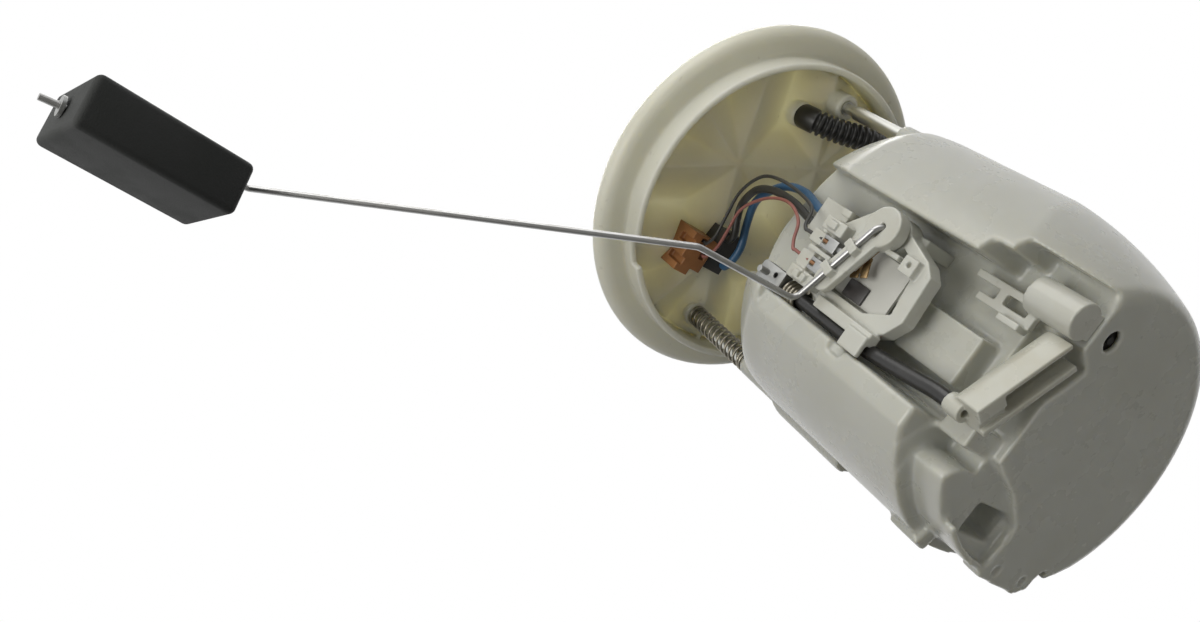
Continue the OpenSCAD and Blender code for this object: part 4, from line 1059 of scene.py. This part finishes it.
def convoluted(name, line):
    """A hose of round waves with a plain cuff at each end, laid along a line."""
    length = sum((b - a).length for a, b in zip(line, line[1:]))
    count = int((length - 2 * CUFF) / WAVE)
    wave = (length - 2 * CUFF) / count
    bpy.ops.object.select_all(action="DESELECT")
    bpy.ops.mesh.primitive_circle_add(vertices=28, radius=HOSE_CREST, fill_type="NGON")
    hose = bpy.context.object
    hose.name = name
    bpy.ops.object.mode_set(mode="EDIT")
    bpy.ops.mesh.select_all(action="SELECT")
    widened_ring(CUFF - wave * 0.1, 1)
    for _ in range(count):
        widened_ring(wave * 0.2, HOSE_VALLEY / HOSE_CREST)
        widened_ring(wave * 0.25, 1)
        widened_ring(wave * 0.2, HOSE_CREST / HOSE_VALLEY)
        widened_ring(wave * 0.35, 1)
    widened_ring(CUFF - wave * 0.1, 1)
    bpy.ops.mesh.select_all(action="SELECT")
    bpy.ops.mesh.normals_make_consistent(inside=False)
    bpy.ops.object.mode_set(mode="OBJECT")
    guide = line_object(name + "_guide", line)
    guide.data.twist_mode = "MINIMUM"
    bend = hose.modifiers.new("bend", "CURVE")
    bend.object = guide
    bend.deform_axis = "POS_Z"
    apply_modifiers(hose)
    bpy.data.objects.remove(guide)
    return bevelled(hose, 0.22, 35)


feed_line = smooth_line(FEED_HOSE, 8)
hose = convoluted("feed_hose_convoluted", feed_line)
finished(hose, None, hose_black, ["feed_hose"], 40)
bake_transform(hose)

# %% Jet hose
JET_HOSE_R = mm(2.4)
jet = tube_piece("jet_hose_black", smooth_line(JET_HOSE, 6), JET_HOSE_R, 8)
finished(jet, "reservoir", hose_black, ["jet_hose"], 50)

# %% [markdown]
# The guide spring is a wire wound round the left rod, with its end turns laid flat. Its line
# is worked out turn by turn.

# %% Guide spring
SPRING_R = 3.8
SPRING_WIRE_R = mm(0.5)
SPRING_TURNS = 15
SPRING_TOP = -1.5
SPRING_LOW = -41.5
END_TURNS = 1.4
STEPS_PER_TURN = 28


def spring_rise(share):
    """How far up the spring is after a share of its turns: slow in the end turns."""
    end = END_TURNS / SPRING_TURNS
    if share < end:
        return 0.25 * share
    if share > 1 - end:
        return 1 - 0.25 * (1 - share)
    return 0.25 * end + (share - end) * (1 - 0.5 * end) / (1 - 2 * end)


spring_line = []
for step in range(SPRING_TURNS * STEPS_PER_TURN + 1):
    turn = 2 * math.pi * step / STEPS_PER_TURN
    rise = spring_rise(step / (SPRING_TURNS * STEPS_PER_TURN))
    spring_line.append(coil_point(-ROD_X, 0, SPRING_R, turn,
                                  SPRING_LOW + (SPRING_TOP - SPRING_LOW) * rise))
spring = tube_piece("guide_spring_wound", spring_line, SPRING_WIRE_R, 4)
finished(spring, None, spring_steel, ["guide_spring"], ROUND_ANGLE)
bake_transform(spring)

# %% [markdown]
# The float arm is one steel rod with four bends. Each bend is an arc of the same inner radius,
# as a bending tool leaves it, so the line takes a short arc at each corner point.

# %% Float arm wire
ROD_R = mm(1)
BEND_R = mm(3)
BEND_STEPS = 10
ARM_PLANE = -54.5
FLOAT_ROOT = mm(-68.1, -200, -39.5)
ARM_CORNERS = [mm(PIVOT[0], -50.4, PIVOT[1]), mm(PIVOT[0], ARM_PLANE, PIVOT[1]),
               mm(-14, ARM_PLANE, -98), mm(-14, -98, -98), FLOAT_ROOT,
               FLOAT_ROOT - mm(0, 57.6, 0)]


def bent_line(corners, radius):
    """A line through corner points with a round bend at each inner one."""
    line = [corners[0]]
    for before, corner, after in zip(corners, corners[1:], corners[2:]):
        d = (corner - before).normalized()
        e = (after - corner).normalized()
        turn = d.angle(e)
        side = (e - e.dot(d) * d).normalized()
        centre = corner + radius * (side - math.tan(turn / 2) * d)
        for k in range(BEND_STEPS + 1):
            angle = turn * k / BEND_STEPS
            line.append(centre + radius * (math.sin(angle) * d - math.cos(angle) * side))
    return line + [corners[-1]]


arm = tube_piece("float_rod", bent_line(ARM_CORNERS, BEND_R), ROD_R, 8)
finished(arm, "float_arm", wire_steel, ["arm_wire"], ROUND_ANGLE)

# %% [markdown]
# The float is a block of closed-cell foam, cut square and skinned, so its edges are rounded.
# A cube is set to the block's size and its edges are bevelled. It sits on the rod at a small
# slant, as in the photograph.

# %% Float block
FLOAT_SIZE = (31.4, 16, 46)
FLOAT_EDGE = mm(2)
FLOAT_FAR = 51
FLOAT_TURN = math.radians(-57)
FLOAT_TILT = math.radians(7)
block = box([-size / 2 for size in FLOAT_SIZE], [size / 2 for size in FLOAT_SIZE])
block.name = "float_block"
edited(block, (bpy.ops.mesh.bevel, {"offset": FLOAT_EDGE, "segments": 5}))
block.matrix_world = (
    Matrix.Translation(FLOAT_ROOT - mm(0, FLOAT_FAR, 0)) @ Matrix.Rotation(FLOAT_TILT, 4, "Z")
    @ Matrix.Rotation(math.radians(90), 4, "X") @ Matrix.Rotation(FLOAT_TURN, 4, "Z")
    @ Matrix.Translation(mm(0, 0, -FLOAT_SIZE[2] / 2)))
settle(block)
finished(block, "float", foam_black, ["float"], 40)
